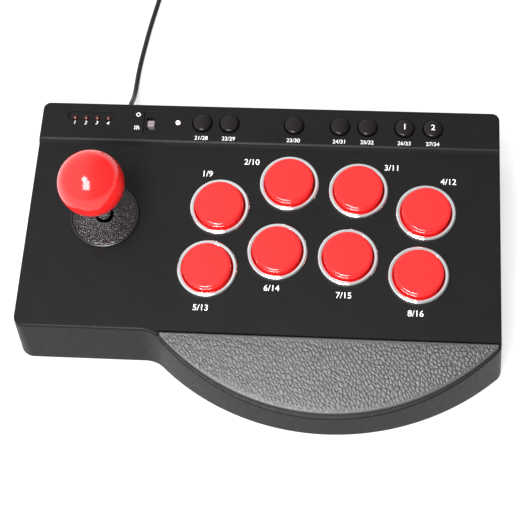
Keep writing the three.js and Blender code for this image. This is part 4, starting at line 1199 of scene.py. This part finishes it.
def case_openings(plan):
    """Cutters for the case's holes, shallow slots, pad recess and bores, and for the deeper holes."""
    s, strip, below = plan.sizes, plan.sizes.strip_height, -plan.sizes.wall - PAST
    cutters = []
    for name in BUTTONS:
        x, y = deck_place(f"button_bezel_{name}", plan)
        cutters.append(hole_cutter(plan, x, y, RING_HOLE, below, 0.0, chamfer=0.0003))
    radius = key_radius(plan) + KEY_GAP
    for name in KEYS:
        x, y = deck_place(f"key_{name}", plan)
        cutters.append(hole_cutter(plan, x, y, radius, below, strip, chamfer=0.0004))
    x, y = deck_place("gimbal_ring", plan)
    cutters.append(hole_cutter(plan, x, y, LEVER_HOLE, below, 0.0, chamfer=0.0004))
    low, high = deck_box("player_lamps", plan)
    x, y = deck_place("player_lamps", plan)
    width = high.x - low.x + 0.004
    lamp_slot = {"depth": 0.0053, "low": strip - 0.0008, "high": strip, "corner": 0.0024, "flare": 0.0003}
    cutters.append(slot_cutter(plan, x, y + 0.0011, width, **lamp_slot))
    x, y = deck_place("mode_switch_body", plan)
    switch_slot = {"depth": 0.0132, "low": strip - 0.0007, "high": strip, "corner": 0.0004, "flare": 0.0006}
    cutters.append(slot_cutter(plan, x, y + 0.0005, 0.0074, **switch_slot))
    arc_steps, end_steps, over_rest = 160, 6, -0.02
    loop = plan.pad_loop(s.clearance, arc_steps, end_steps)
    drops = (s.recess, over_rest)
    recess = [[(px, py, plan.rest_height(py, drop)) for px, py in loop] for drop in drops]
    cutters.append(loft("recess", recess))
    relief_low, relief_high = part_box("strain_relief")
    cord = Matrix.Translation(middle("strain_relief")) @ Matrix.Rotation(-math.pi / 2, 4, "X")
    cutters.append(rod("bore", (relief_high.x - relief_low.x) / 2 - 0.0006, -0.02, 0.02, cord))
    cutters += [rod("bore", SCREW_BORE, 0.0, 0.0145, upright(name), 24) for name in SCREWS]
    over = strip + PAST
    lamps = [*lamp_points(plan), deck_place("mode_lamp", plan)]
    deep = [hole_cutter(plan, px, py, LAMP_HOLE, below, over, sides=32) for px, py in lamps]
    deep.append(slot_cutter(plan, x, y, width=0.0046, depth=0.008, low=below, high=over, corner=0.0003))
    return cutters, deep


def make_case():
    """The moulded case: rounded, hollowed with its screw posts, and cut for all it holds."""
    plan = case_plan()
    s = plan.sizes
    case = plan.block("case_shell", 0.0, 0.0, 0.0)

    faces_up, faces_down, upright_face, rest_lean = 0.5, -0.9, 0.01, -0.25

    def edge(a, b):
        """The radius for the edge of two faces, told apart by how far their normals point up."""
        low, high = sorted((a.normal, b.normal), key=lambda n: n.z)
        if low.z < faces_down:
            return s.bottom_round
        if low.z > faces_up:
            return s.ridge_round
        if high.z < faces_up:
            return 0
        if abs(low.z) < upright_face:
            return s.step_round
        return s.rest_round if high.y < rest_lean else s.edge_round

    rounded(case, s.edge_round, edge)
    holes = [f"button_bezel_{n}" for n in BUTTONS] + [f"key_{n}" for n in KEYS]
    holes += ["mode_lamp", "mode_switch_body", "gimbal_ring"]
    sliced(case, [deck_place(n, plan)[0] for n in holes] + [x for x, y in lamp_points(plan)])
    hollow = plan.block("hollow", s.wall, s.wall, s.rest_floor, 0.4)
    posts = [rod("post", POST_RADIUS, POST_FOOT, POST_TOP, upright(n), 32) for n in SCREWS]
    combine(hollow, joined("posts", posts))
    combine(case, hollow)
    for cutters in case_openings(plan):
        combine(case, joined("cutters", cutters))
    finished(case, "case", look(case_plastic), ["top_case"], 30)


def key_radius(plan):
    """Radius of a key where it passes through the strip."""
    x, y = deck_place("key_home", plan)
    over = [p for p in deck_points("key_home", plan) if p.z > plan.sizes.strip_height]
    return max(Vector((p.x - x, p.y - y)).length for p in over)


def lamp_points(plan):
    """The four player lamps' places on the deck, from the pegs of their light pipe."""
    lamps, peg = 4, 0.0012  # how many, and the radius of a peg
    points = deck_points("player_lamps", plan)
    top = max(p.z for p in points)
    xs = [p.x for p in points if p.z > top - 0.0001]
    first, last = min(xs), max(xs)
    y = deck_place("player_lamps", plan)[1]
    return [(first + peg + (last - first - 2 * peg) * i / (lamps - 1), y) for i in range(lamps)]


def make_base():
    """Base plate with rounded edges and its screw holes."""
    plan = case_plan()
    low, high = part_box("base_plate")
    plate = plan.prism("base_plate_moulded", low.z, high.z, plan.sizes.wall + 0.0003, 0.6)
    head_radius, round_width = 0.0023, 0.0004
    seat, over = low.z + 0.0006, high.z + PAST
    profile = [(0, 0), (head_radius, 0), (head_radius, low.z)]
    profile += [(SCREW_BORE, seat), (SCREW_BORE, over), (0, over)]
    holes = [lathe("hole", profile, upright(n), 32) for n in SCREWS]
    combine(plate, joined("holes", holes))

    def edge(a, b):
        return round_width if min(a.normal.z, b.normal.z) < -0.9 else 0

    rounded(plate, round_width, edge, 2)
    finished(plate, "case", look(case_plastic), ["base_plate"], 30)


# ---- Hand-rest pad ----


def make_pad():
    """Leather-grain mat: crowned, with rounded edges and creases pressed into its mesh, and a point layer
    by which its finish paints shade into the creases.
    """
    plan = case_plan()
    s = bpy.context.scene.joystick_pad
    columns, rows = 520, 110  # of the fine grid that carries the grain
    levels = [(0.0, -s.below), (0.0, s.above - s.edge_round)]
    steps = 5  # of the edge's rounding
    for i in range(1, steps + 1):
        a = math.pi / 2 * i / steps
        levels.append((s.edge_round * (1 - math.cos(a)), s.above - s.edge_round * (1 - math.sin(a))))
    points, faces = [], []
    for inset, rise in levels:
        loop = plan.pad_loop(-inset, columns, rows)
        points += [(x, y, plan.rest_height(y) + rise) for x, y in loop]
    count = 2 * (columns + rows)
    for k in range(len(levels) - 1):
        for i in range(count):
            j = (i + 1) % count
            faces.append([k * count + i, k * count + j, (k + 1) * count + j, (k + 1) * count + i])
    faces.append(list(range(count))[::-1])
    top = (len(levels) - 1) * count
    start = len(points)
    inner = np.array(points[top : top + count])
    arc_line = inner[: columns + 1]
    rear_line = inner[columns + rows : 2 * columns + rows + 1][::-1]

    def index(i, j):
        """Point i along and j down the grid; the grid's border is the last loop."""
        if j == rows:
            return top + i
        if j == 0:
            return top + columns + rows + (columns - i)
        if i == columns:
            return top + columns + (rows - j)
        if i == 0:
            return top + 2 * columns + rows + j
        return start + (j - 1) * (columns - 1) + (i - 1)

    shares = np.arange(1, rows) / rows
    grid = rear_line[None, 1:-1] + (arc_line - rear_line)[None, 1:-1] * shares[:, None, None]
    grid = grid.reshape(-1, 3)
    across = np.tile(np.arange(1, columns) / columns, rows - 1)
    down = np.repeat(shares, columns - 1)
    crown = (1 - (2 * down - 1) ** 4) * (1 - (2 * across - 1) ** 8)
    creases = cell_creases(grid, s.grain, seed=7, stretch=1.75, turn=math.radians(-58))
    fine = cell_creases(grid, s.grain * 0.55, seed=11, stretch=1.3, turn=math.radians(-40))
    crease_width, fine_width, fine_share = 0.42, 0.4, 0.3  # widths in cells
    depth = 1 - np.clip(creases / crease_width, 0, 1) ** 0.6
    depth = depth + fine_share * (1 - np.clip(fine / fine_width, 0, 1) ** 0.7)
    from_ends, from_sides = np.minimum(across, 1 - across), np.minimum(down, 1 - down)
    side_fade, end_fade = 12, 60  # the grain starts one part in so many from the pad's edges
    edge = np.clip(np.minimum(from_sides * side_fade, from_ends * end_fade), 0, 1)
    grid[:, 2] += s.crown * crown - s.grain_depth * depth * edge
    points += [tuple(p) for p in grid]
    for j in range(rows):
        for i in range(columns):
            faces.append([index(i, j), index(i + 1, j), index(i + 1, j + 1), index(i, j + 1)])
    pad = from_faces("hand_rest_mat", points, faces)
    # Painted shade, not wear: this point layer is 1 on the cells and lower down the creases, and the pad's
    # finish colours the creases darker by it.
    worn = pad.data.attributes.new("grain", "FLOAT", "POINT")

    def key(point):
        return tuple(round(c, 6) for c in point)

    spots = {key(p): v for p, v in zip(points[start:], 1 - depth)}
    worn.data.foreach_set("value", [spots.get(key(v.co), 1.0) for v in pad.data.vertices])
    finished(pad, "case", look(leather), ["hand_rest_pad"], 60)


# ---- Buttons, keys, lamps and printed numbers ----


def make_rings():
    """The eight chromed button rings with their sleeves."""
    plan, s = case_plan(), bpy.context.scene.joystick_controls
    tree = ring_tree()
    names = [f"button_bezel_{n}" for n in BUTTONS]
    places = [on_deck(plan, *deck_place(n, plan)).translation for n in names]
    low, high = deck_box(names[0], plan)
    outer = radius_of(names[0], plan)
    common = {"Tilt": plan.tilt, "Material": look(chrome)}
    flange = {
        "Outer": outer,
        "Inner": outer - s.ring_lip,
        "Bottom": 0.0001,
        "Top": high.z,
        "Lean": s.ring_lean,
        "Dip": s.ring_dip,
        "Edge": s.ring_round,
    }
    sleeve = {"Outer": 0.01485, "Inner": 0.01365, "Bottom": low.z, "Top": 0.0006, "Edge": 0.0001}
    parts = [grow("part", tree, places, {**common, **size}) for size in (flange, sleeve)]
    finished(joined("button_rings", parts), "case", None, names, 40)


def turned(node, plan, material, sizes):
    """A CAD node's turned parts, one for each entry of sizes, at its place on the deck."""
    place = [on_deck(plan, *deck_place(node, plan)).translation]
    common = {"Tilt": plan.tilt, "Material": material}
    return [grow("part", shared_tree(), place, {**common, **size}) for size in sizes]


def make_caps():
    """The eight red plungers, each on its own body."""
    plan, s = case_plan(), bpy.context.scene.joystick_controls
    for name in BUTTONS:
        node = f"button_cap_{name}"
        low, high = deck_box(node, plan)
        cap = {
            "Radius": radius_of(node, plan),
            "Bottom": -0.005,
            "Top": high.z - s.cap_crown,
            "Edge": s.cap_round,
            "Crown": s.cap_crown,
        }
        stem = {"Radius": 0.003, "Bottom": low.z, "Top": -0.0049, "Edge": 0.0001, "Sides": 32}
        parts = turned(node, plan, look(red_gloss), (cap, stem))
        finished(joined(f"plunger_{name}", parts), f"button_{name}", None, [node], 40)


def make_keys():
    """The seven small keys, each on its own body, two of them with a printed number."""
    plan, s = case_plan(), bpy.context.scene.joystick_controls
    radius = key_radius(plan)
    numbers = {"left_stick": "1", "right_stick": "2"}
    for name in KEYS:
        node, body = f"key_{name}", f"key_{name}_body"
        low, high = deck_box(node, plan)
        top = high.z - s.key_crown
        dome = {"Radius": radius, "Bottom": -0.0019, "Top": top, "Edge": s.key_round, "Crown": s.key_crown}
        flange = {"Radius": radius_of(node, plan), "Bottom": -0.0018, "Top": -0.0006, "Edge": 0.0001}
        stem = {"Radius": 0.002, "Bottom": low.z, "Top": -0.0017, "Edge": 0.0001, "Sides": 32}
        parts = turned(node, plan, look(key_gloss), (dome, flange, stem))
        finished(joined(f"{node}_domed", parts), body, None, [node], 40)
        if name in numbers:
            number = printed(numbers[name], 0.0034, 0, 0, PRINT_THICKNESS)
            for v in number.data.vertices:
                share = (v.co.x**2 + v.co.y**2) / radius**2
                v.co.z += top + s.key_crown * (1 - share) + 0.00006
            number.data.transform(on_deck(plan, *deck_place(node, plan)))
            finished(number, body, look(ink), (), 40)
            number.name = f"number_on_{node}"


def printed(text, height, x, y, z, slant=0.0):
    """Printed characters as a thin solid, in the deck's frame."""
    data = bpy.data.curves.new("text", "FONT")
    data.body = text
    data.size = height / 0.7  # a figure is 0.7 of its font's size
    data.shear = slant
    data.offset = 0.01 * height
    data.extrude = PRINT_THICKNESS
    data.align_x, data.align_y = "CENTER", "CENTER"
    data.resolution_u = 4
    writing = new_object("text", data)
    evaluated = writing.evaluated_get(bpy.context.evaluated_depsgraph_get())
    mesh = bpy.data.meshes.new_from_object(evaluated)
    remove(writing)
    mesh.transform(Matrix.Translation((x, y, z)))
    piece = new_object("printed", mesh)
    clean(piece, 1e-7)
    return piece


def bars(x, y, z, ends):
    """Thin printed bars, each between two places that are given from x, y."""
    made = []
    for x0, y0, x1, y1 in ends:
        start, end = Vector((x + x0, y + y0)), Vector((x + x1, y + y1))
        side = (end - start).orthogonal().normalized() * BAR_WIDTH / 2
        corners = [start + side, end + side, end - side, start - side]
        heights = (z - PRINT_THICKNESS, z + PRINT_THICKNESS)
        made.append(loft("bar", [[(*c, h) for c in corners] for h in heights]))
    return made


def make_print():
    """White numbers by the buttons, keys and lamps, and two plain signs by the slide switch."""
    plan = case_plan()
    lift = 0.00004
    on_strip = plan.sizes.strip_height + lift
    beside = {  # where a button's number stands from the button's middle
        "upper_1": (-0.0084, 0.0199),
        "upper_2": (-0.0216, 0.0126),
        "upper_3": (0.0179, 0.0145),
        "upper_4": (0.0119, 0.0191),
        "lower_1": (-0.0019, -0.0223),
        "lower_2": (-0.0019, -0.0210),
        "lower_3": (-0.0014, -0.0217),
        "lower_4": (-0.0011, -0.0216),
    }
    parts = []
    for number, name in enumerate(BUTTONS, 1):
        x, y = deck_place(f"button_bezel_{name}", plan)
        dx, dy = beside[name]
        parts.append(printed(f"{number}/{number + len(BUTTONS)}", 0.0034, x + dx, y + dy, lift))
    for number, name in enumerate(KEYS, 21):
        x, y = deck_place(f"key_{name}", plan)
        parts.append(printed(f"{number}/{number + len(KEYS)}", 0.0023, x, y - 0.0093, on_strip))
    for number, (x, y) in enumerate(lamp_points(plan), 1):
        parts.append(printed(str(number), 0.0021, x, y - 0.0036, on_strip, slant=0.25))
    x, y = deck_place("mode_switch_body", plan)
    half = 0.0013  # half the height of a sign
    diamond = [(-half, 0, 0, half), (0, half, half, 0), (half, 0, 0, -half), (0, -half, -half, 0)]
    parts += bars(x - 0.0075, y + 0.0052, on_strip, diamond)
    strokes = [(-0.0010, -half, -0.0010, half), (0.0001, -half, 0.0001, half)]
    strokes.append((0.0008, 0.0011, 0.0014, -0.0011))
    parts += bars(x - 0.0078, y - 0.0030, on_strip, strokes)
    marks = joined("printed_numbers", parts)
    marks.data.transform(plan.matrix)
    finished(marks, "case", look(ink), (), 40)


def make_lamps():
    """Red domes on the four player lamps and the mode lamp, each with a bright core."""
    plan, s = case_plan(), bpy.context.scene.joystick_controls
    tree = shared_tree()
    parts = []
    groups = [
        (lamp_points(plan), "player_lamps", lamp_lens),
        ([deck_place("mode_lamp", plan)], "mode_lamp", lamp_core),
    ]
    for places, node, finish in groups:
        top = deck_box(node, plan)[1].z
        points = [on_deck(plan, x, y).translation for x, y in places]
        lens = {
            "Radius": 0.00125,
            "Bottom": top - 0.0012,
            "Top": top + 0.0001,
            "Edge": 0.0003,
            "Crown": s.lamp_crown,
            "Tilt": plan.tilt,
            "Sides": 32,
            "Material": look(finish),
        }
        parts.append(grow("part", tree, points, lens))
        core = {
            "Radius": 0.0005,
            "Bottom": top,
            "Top": top + s.lamp_crown * 0.9,
            "Edge": 0.00005,
            "Crown": 0.0001,
            "Material": look(lamp_core),
        }
        parts.append(grow("part", tree, points, {**lens, **core}))
    finished(joined("lamp_domes", parts), "case", None, (), 50)
    for node in ("player_lamps", "mode_lamp"):
        repaint(node, lamp_lens)


def make_switch():
    """The slide switch's knob with its grip ridges."""
    plan = case_plan()
    low, high = deck_box("mode_switch_knob", plan)
    x, y = deck_place("mode_switch_knob", plan)
    width, depth = high.x - low.x, high.y - low.y
    steps = [(low.z, 0.0), (high.z - 0.0003, 0.0), (high.z - 0.0001, 0.00008), (high.z, 0.0003)]
    rings = []
    for z, inset in steps:
        section = rounded_section(width - 2 * inset, depth - 2 * inset, 0.0004)
        rings.append([(x + dx, y + dy, z) for dx, dy in section])
    knob = loft("slide_knob", rings, plan.matrix)
    groove, half = 0.0004, 0.0002  # depth of a groove, and half its width
    grooves = []
    for dy in (-0.0009, 0.0, 0.0009):
        corner = (x - width, y + dy - half, high.z - groove)
        far_corner = (x + width, y + dy + half, high.z + PAST)
        grooves.append(block("groove", corner, far_corner, plan.matrix))
    combine(knob, joined("grooves", grooves))
    finished(knob, "mode_switch", look(slider_plastic), ["mode_switch_knob"], 35)


# ---- Lever ----


def lever_matrix(plan):
    return on_deck(plan, *deck_place("gimbal_ring", plan))


def make_ball():
    """Ball top: a full sphere with a softened mouth round its bore."""
    plan = case_plan()
    radius = radius_of("ball_top", plan)
    centre = deck_box("ball_top", plan)[1].z - radius
    bore, softening, bore_depth = 0.0043, 0.0008, 0.0118
    mouth = math.asin((bore + softening) / radius)
    bore_end = centre - radius + bore_depth
    lip = centre - radius * math.cos(mouth)
    step = 0.0002
    profile = [(0, bore_end), (bore, bore_end), (bore, lip + 3 * step), (bore + step, lip + step)]
    profile += arc((0, centre), radius, -math.pi / 2 + mouth, math.pi / 2, 60)[:-1]
    profile.append((0, centre + radius))
    ball = lathe("ball", profile, lever_matrix(plan), 96)
    finished(ball, "knob", look(red_gloss), ["ball_top"], 40)


def make_shaft():
    """Chromed shaft with chamfered ends and a collar that the ball stands on."""
    plan = case_plan()
    low, high = deck_box("lever_shaft", plan)
    radius, chamfer, step = 0.004, 0.0005, 0.0002
    collar = deck_box("ball_top", plan)[0].z - 0.0004
    profile = [(0, low.z), (radius - chamfer, low.z), (radius, low.z + chamfer)]
    profile += [(radius, collar - 0.0012), (radius + step, collar - 0.001), (radius + step, collar)]
    profile += [(radius, collar + step), (radius, high.z - chamfer)]
    profile += [(radius - chamfer, high.z), (0, high.z)]
    shaft = lathe("shaft", profile, lever_matrix(plan), 64)
    finished(shaft, "knob", look(chrome), ["lever_shaft"], 30)


def make_washer():
    """Dust washer: a pebbled disc with a smooth bead round its edge."""
    plan, s = case_plan(), bpy.context.scene.joystick_controls
    low = deck_box("dust_washer", plan)[0]
    outer = radius_of("dust_washer", plan)
    inner, bead = 0.0049, 0.0014
    bottom, top = 0.001, 0.0018
    outer_round, inner_round, margin, chamfer = 0.0007, 0.0006, 0.0003, 0.0002
    face = outer - bead
    start = face - margin
    profile = [(inner, bottom), (face, bottom), (face, low.z), (outer - 0.0003, low.z)]
    profile += arc((outer - outer_round, low.z + outer_round), outer_round, -0.4, math.pi / 2, 5)
    profile += arc((face + inner_round, top - chamfer), inner_round, math.pi / 2, math.pi, 4)
    rows, sides = 44, 300
    profile += [(start - (start - inner - chamfer) * i / rows, top) for i in range(rows + 1)]
    profile += [(inner, top - chamfer)]
    washer = lathe("pebbled_washer", profile, None, sides)
    mesh = washer.data
    spots = np.zeros(len(mesh.vertices) * 3)
    mesh.vertices.foreach_get("co", spots)
    spots = spots.reshape(-1, 3)
    reach = np.hypot(spots[:, 0], spots[:, 1])
    on_top = abs(spots[:, 2] - top) < 1e-6
    grained = np.where(on_top & (reach < face - 0.0002) & (reach > inner + 0.0001))[0]
    creases = cell_creases(spots[grained], s.pebble, 3)
    spots[grained, 2] += s.pebble_height * (np.clip(creases / 0.7, 0, 1) ** 0.7 - 0.6)
    mesh.vertices.foreach_set("co", spots.ravel())
    mesh.transform(lever_matrix(plan))
    finished(washer, "washer", look(washer_plastic), ["dust_washer"], 60)


# ---- Feet, screws and inner pieces ----


def make_feet():
    """Five rubber feet with a rounded lower edge."""
    low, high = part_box(FEET[0])
    places = [(*middle(n).to_2d(), 0) for n in FEET]
    sizes = {"Radius": (high.y - low.y) / 2, "Bottom": high.z, "Top": low.z, "Edge": 0.0007, "Crown": 0.0}
    feet = grow("rubber_feet", shared_tree(), places, {**sizes, "Material": look(rubber)})
    finished(feet, "case", None, FEET, 40)


def make_screws():
    """Four case screws with cross recesses."""
    low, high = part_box(SCREWS[0])
    places = [(*middle(n).to_2d(), low.z) for n in SCREWS]
    head = 0.0013
    sizes = {"Head Radius": (high.y - low.y) / 2, "Head Height": head, "Length": high.z - low.z - head}
    screws = grow("cross_screws", screw_tree(), places, {**sizes, "Material": look(steel)})
    finished(screws, "case", None, SCREWS, 35)


def repaint(node, maker):
    """Gives a CAD node that stays its material."""
    materials = frame["nodes"][node].data.materials
    materials.clear()
    materials.append(look(maker))


def make_inner():
    """Materials of the pieces inside the case, whose shapes are the CAD's own."""
    finishes = {
        circuit_board: ["button_board", "key_board"],
        inner_plastic: ["lever_mount", "restrictor_gate", "lever_actuator"],
        steel: ["gimbal_ring", "pivot_block", "centring_spring", "retaining_clip", "mode_switch_body"],
        felt: ["washer_felt"],
    }
    for maker, nodes in finishes.items():
        for node in nodes:
            repaint(node, maker)
    for side in ("left", "right", "front", "rear"):
        repaint(f"lever_switch_{side}", inner_plastic)


# ---- Operators, panel and registration ----


class MakesPiece:
    """What the operators share: each runs its own maker as one step that can be undone."""

    bl_options = {"REGISTER", "UNDO"}

    def execute(self, context):
        self.make()
        return {"FINISHED"}


class JOYSTICK_OT_camera(MakesPiece, bpy.types.Operator):
    """Set the camera at its angle above the panel"""

    bl_idname = "joystick.camera"
    bl_label = "Camera"
    make = staticmethod(make_camera)


class JOYSTICK_OT_stage(MakesPiece, bpy.types.Operator):
    """Lay the floor and light the panel"""

    bl_idname = "joystick.stage"
    bl_label = "Stage"
    make = staticmethod(make_stage)


class JOYSTICK_OT_cord(MakesPiece, bpy.types.Operator):
    """Lay the cord with its coil, plug and strain relief"""

    bl_idname = "joystick.cord"
    bl_label = "Cord"
    make = staticmethod(make_cord)


class JOYSTICK_OT_case(MakesPiece, bpy.types.Operator):
    """Mould the case with its deck, hand rest and openings"""

    bl_idname = "joystick.case"
    bl_label = "Case"
    make = staticmethod(make_case)


class JOYSTICK_OT_base(MakesPiece, bpy.types.Operator):
    """Mould the base plate"""

    bl_idname = "joystick.base"
    bl_label = "Base Plate"
    make = staticmethod(make_base)


class JOYSTICK_OT_pad(MakesPiece, bpy.types.Operator):
    """Lay the leather-grain pad on the hand rest"""

    bl_idname = "joystick.pad"
    bl_label = "Hand-rest Pad"
    make = staticmethod(make_pad)


class JOYSTICK_OT_rings(MakesPiece, bpy.types.Operator):
    """Turn the eight chromed button rings"""

    bl_idname = "joystick.rings"
    bl_label = "Button Rings"
    make = staticmethod(make_rings)


class JOYSTICK_OT_caps(MakesPiece, bpy.types.Operator):
    """Turn the eight red plungers"""

    bl_idname = "joystick.caps"
    bl_label = "Button Plungers"
    make = staticmethod(make_caps)


class JOYSTICK_OT_keys(MakesPiece, bpy.types.Operator):
    """Turn the seven small keys"""

    bl_idname = "joystick.keys"
    bl_label = "Keys"
    make = staticmethod(make_keys)


class JOYSTICK_OT_lamps(MakesPiece, bpy.types.Operator):
    """Set the domes of the player lamps and the mode lamp"""

    bl_idname = "joystick.lamps"
    bl_label = "Lamps"
    make = staticmethod(make_lamps)


class JOYSTICK_OT_switch(MakesPiece, bpy.types.Operator):
    """Shape the slide switch's knob"""

    bl_idname = "joystick.switch"
    bl_label = "Slide Switch"
    make = staticmethod(make_switch)


class JOYSTICK_OT_print(MakesPiece, bpy.types.Operator):
    """Print the numbers and signs on the case"""

    bl_idname = "joystick.print"
    bl_label = "Printed Numbers"
    make = staticmethod(make_print)


class JOYSTICK_OT_ball(MakesPiece, bpy.types.Operator):
    """Turn the ball top"""

    bl_idname = "joystick.ball"
    bl_label = "Ball Top"
    make = staticmethod(make_ball)


class JOYSTICK_OT_shaft(MakesPiece, bpy.types.Operator):
    """Turn the lever's shaft"""

    bl_idname = "joystick.shaft"
    bl_label = "Shaft"
    make = staticmethod(make_shaft)


class JOYSTICK_OT_washer(MakesPiece, bpy.types.Operator):
    """Turn the pebbled dust washer"""

    bl_idname = "joystick.washer"
    bl_label = "Dust Washer"
    make = staticmethod(make_washer)


class JOYSTICK_OT_feet(MakesPiece, bpy.types.Operator):
    """Turn the five rubber feet"""

    bl_idname = "joystick.feet"
    bl_label = "Feet"
    make = staticmethod(make_feet)


class JOYSTICK_OT_screws(MakesPiece, bpy.types.Operator):
    """Turn the four case screws"""

    bl_idname = "joystick.screws"
    bl_label = "Screws"
    make = staticmethod(make_screws)


class JOYSTICK_OT_inner(MakesPiece, bpy.types.Operator):
    """Finish the pieces inside the case"""

    bl_idname = "joystick.inner"
    bl_label = "Inner Pieces"
    make = staticmethod(make_inner)


OPERATORS = [
    JOYSTICK_OT_camera,
    JOYSTICK_OT_stage,
    JOYSTICK_OT_cord,
    JOYSTICK_OT_case,
    JOYSTICK_OT_base,
    JOYSTICK_OT_pad,
    JOYSTICK_OT_rings,
    JOYSTICK_OT_caps,
    JOYSTICK_OT_keys,
    JOYSTICK_OT_lamps,
    JOYSTICK_OT_switch,
    JOYSTICK_OT_print,
    JOYSTICK_OT_ball,
    JOYSTICK_OT_shaft,
    JOYSTICK_OT_washer,
    JOYSTICK_OT_feet,
    JOYSTICK_OT_screws,
    JOYSTICK_OT_inner,
]

GROUPS = {
    "joystick_case": CaseSizes,
    "joystick_pad": PadSizes,
    "joystick_controls": ControlSizes,
    "joystick_cord": CordSizes,
    "joystick_finishes": Finishes,
}


class JOYSTICK_PT_pieces(bpy.types.Panel):
    """The joystick panel's pieces, with their sizes and colours"""

    bl_idname = "JOYSTICK_PT_pieces"
    bl_label = "Joystick Panel"
    bl_space_type = "VIEW_3D"
    bl_region_type = "UI"
    bl_category = "Joystick"

    def draw(self, context):
        for piece in OPERATORS:
            self.layout.operator(piece.bl_idname)
        for name, group in GROUPS.items():
            box = self.layout.box()
            box.label(text=group.__doc__)
            for size in group.__annotations__:
                box.prop(getattr(context.scene, name), size)


def register():
    for kind in [*GROUPS.values(), *OPERATORS, JOYSTICK_PT_pieces]:
        bpy.utils.register_class(kind)
    for name, group in GROUPS.items():
        setattr(bpy.types.Scene, name, PointerProperty(type=group))


def unregister():
    for name in GROUPS:
        delattr(bpy.types.Scene, name)
    for kind in reversed([*GROUPS.values(), *OPERATORS, JOYSTICK_PT_pieces]):
        bpy.utils.unregister_class(kind)


def main():
    register()
    for piece in OPERATORS:
        area, name = piece.bl_idname.split(".")
        getattr(getattr(bpy.ops, area), name)()


if __name__ == "__main__":
    main()
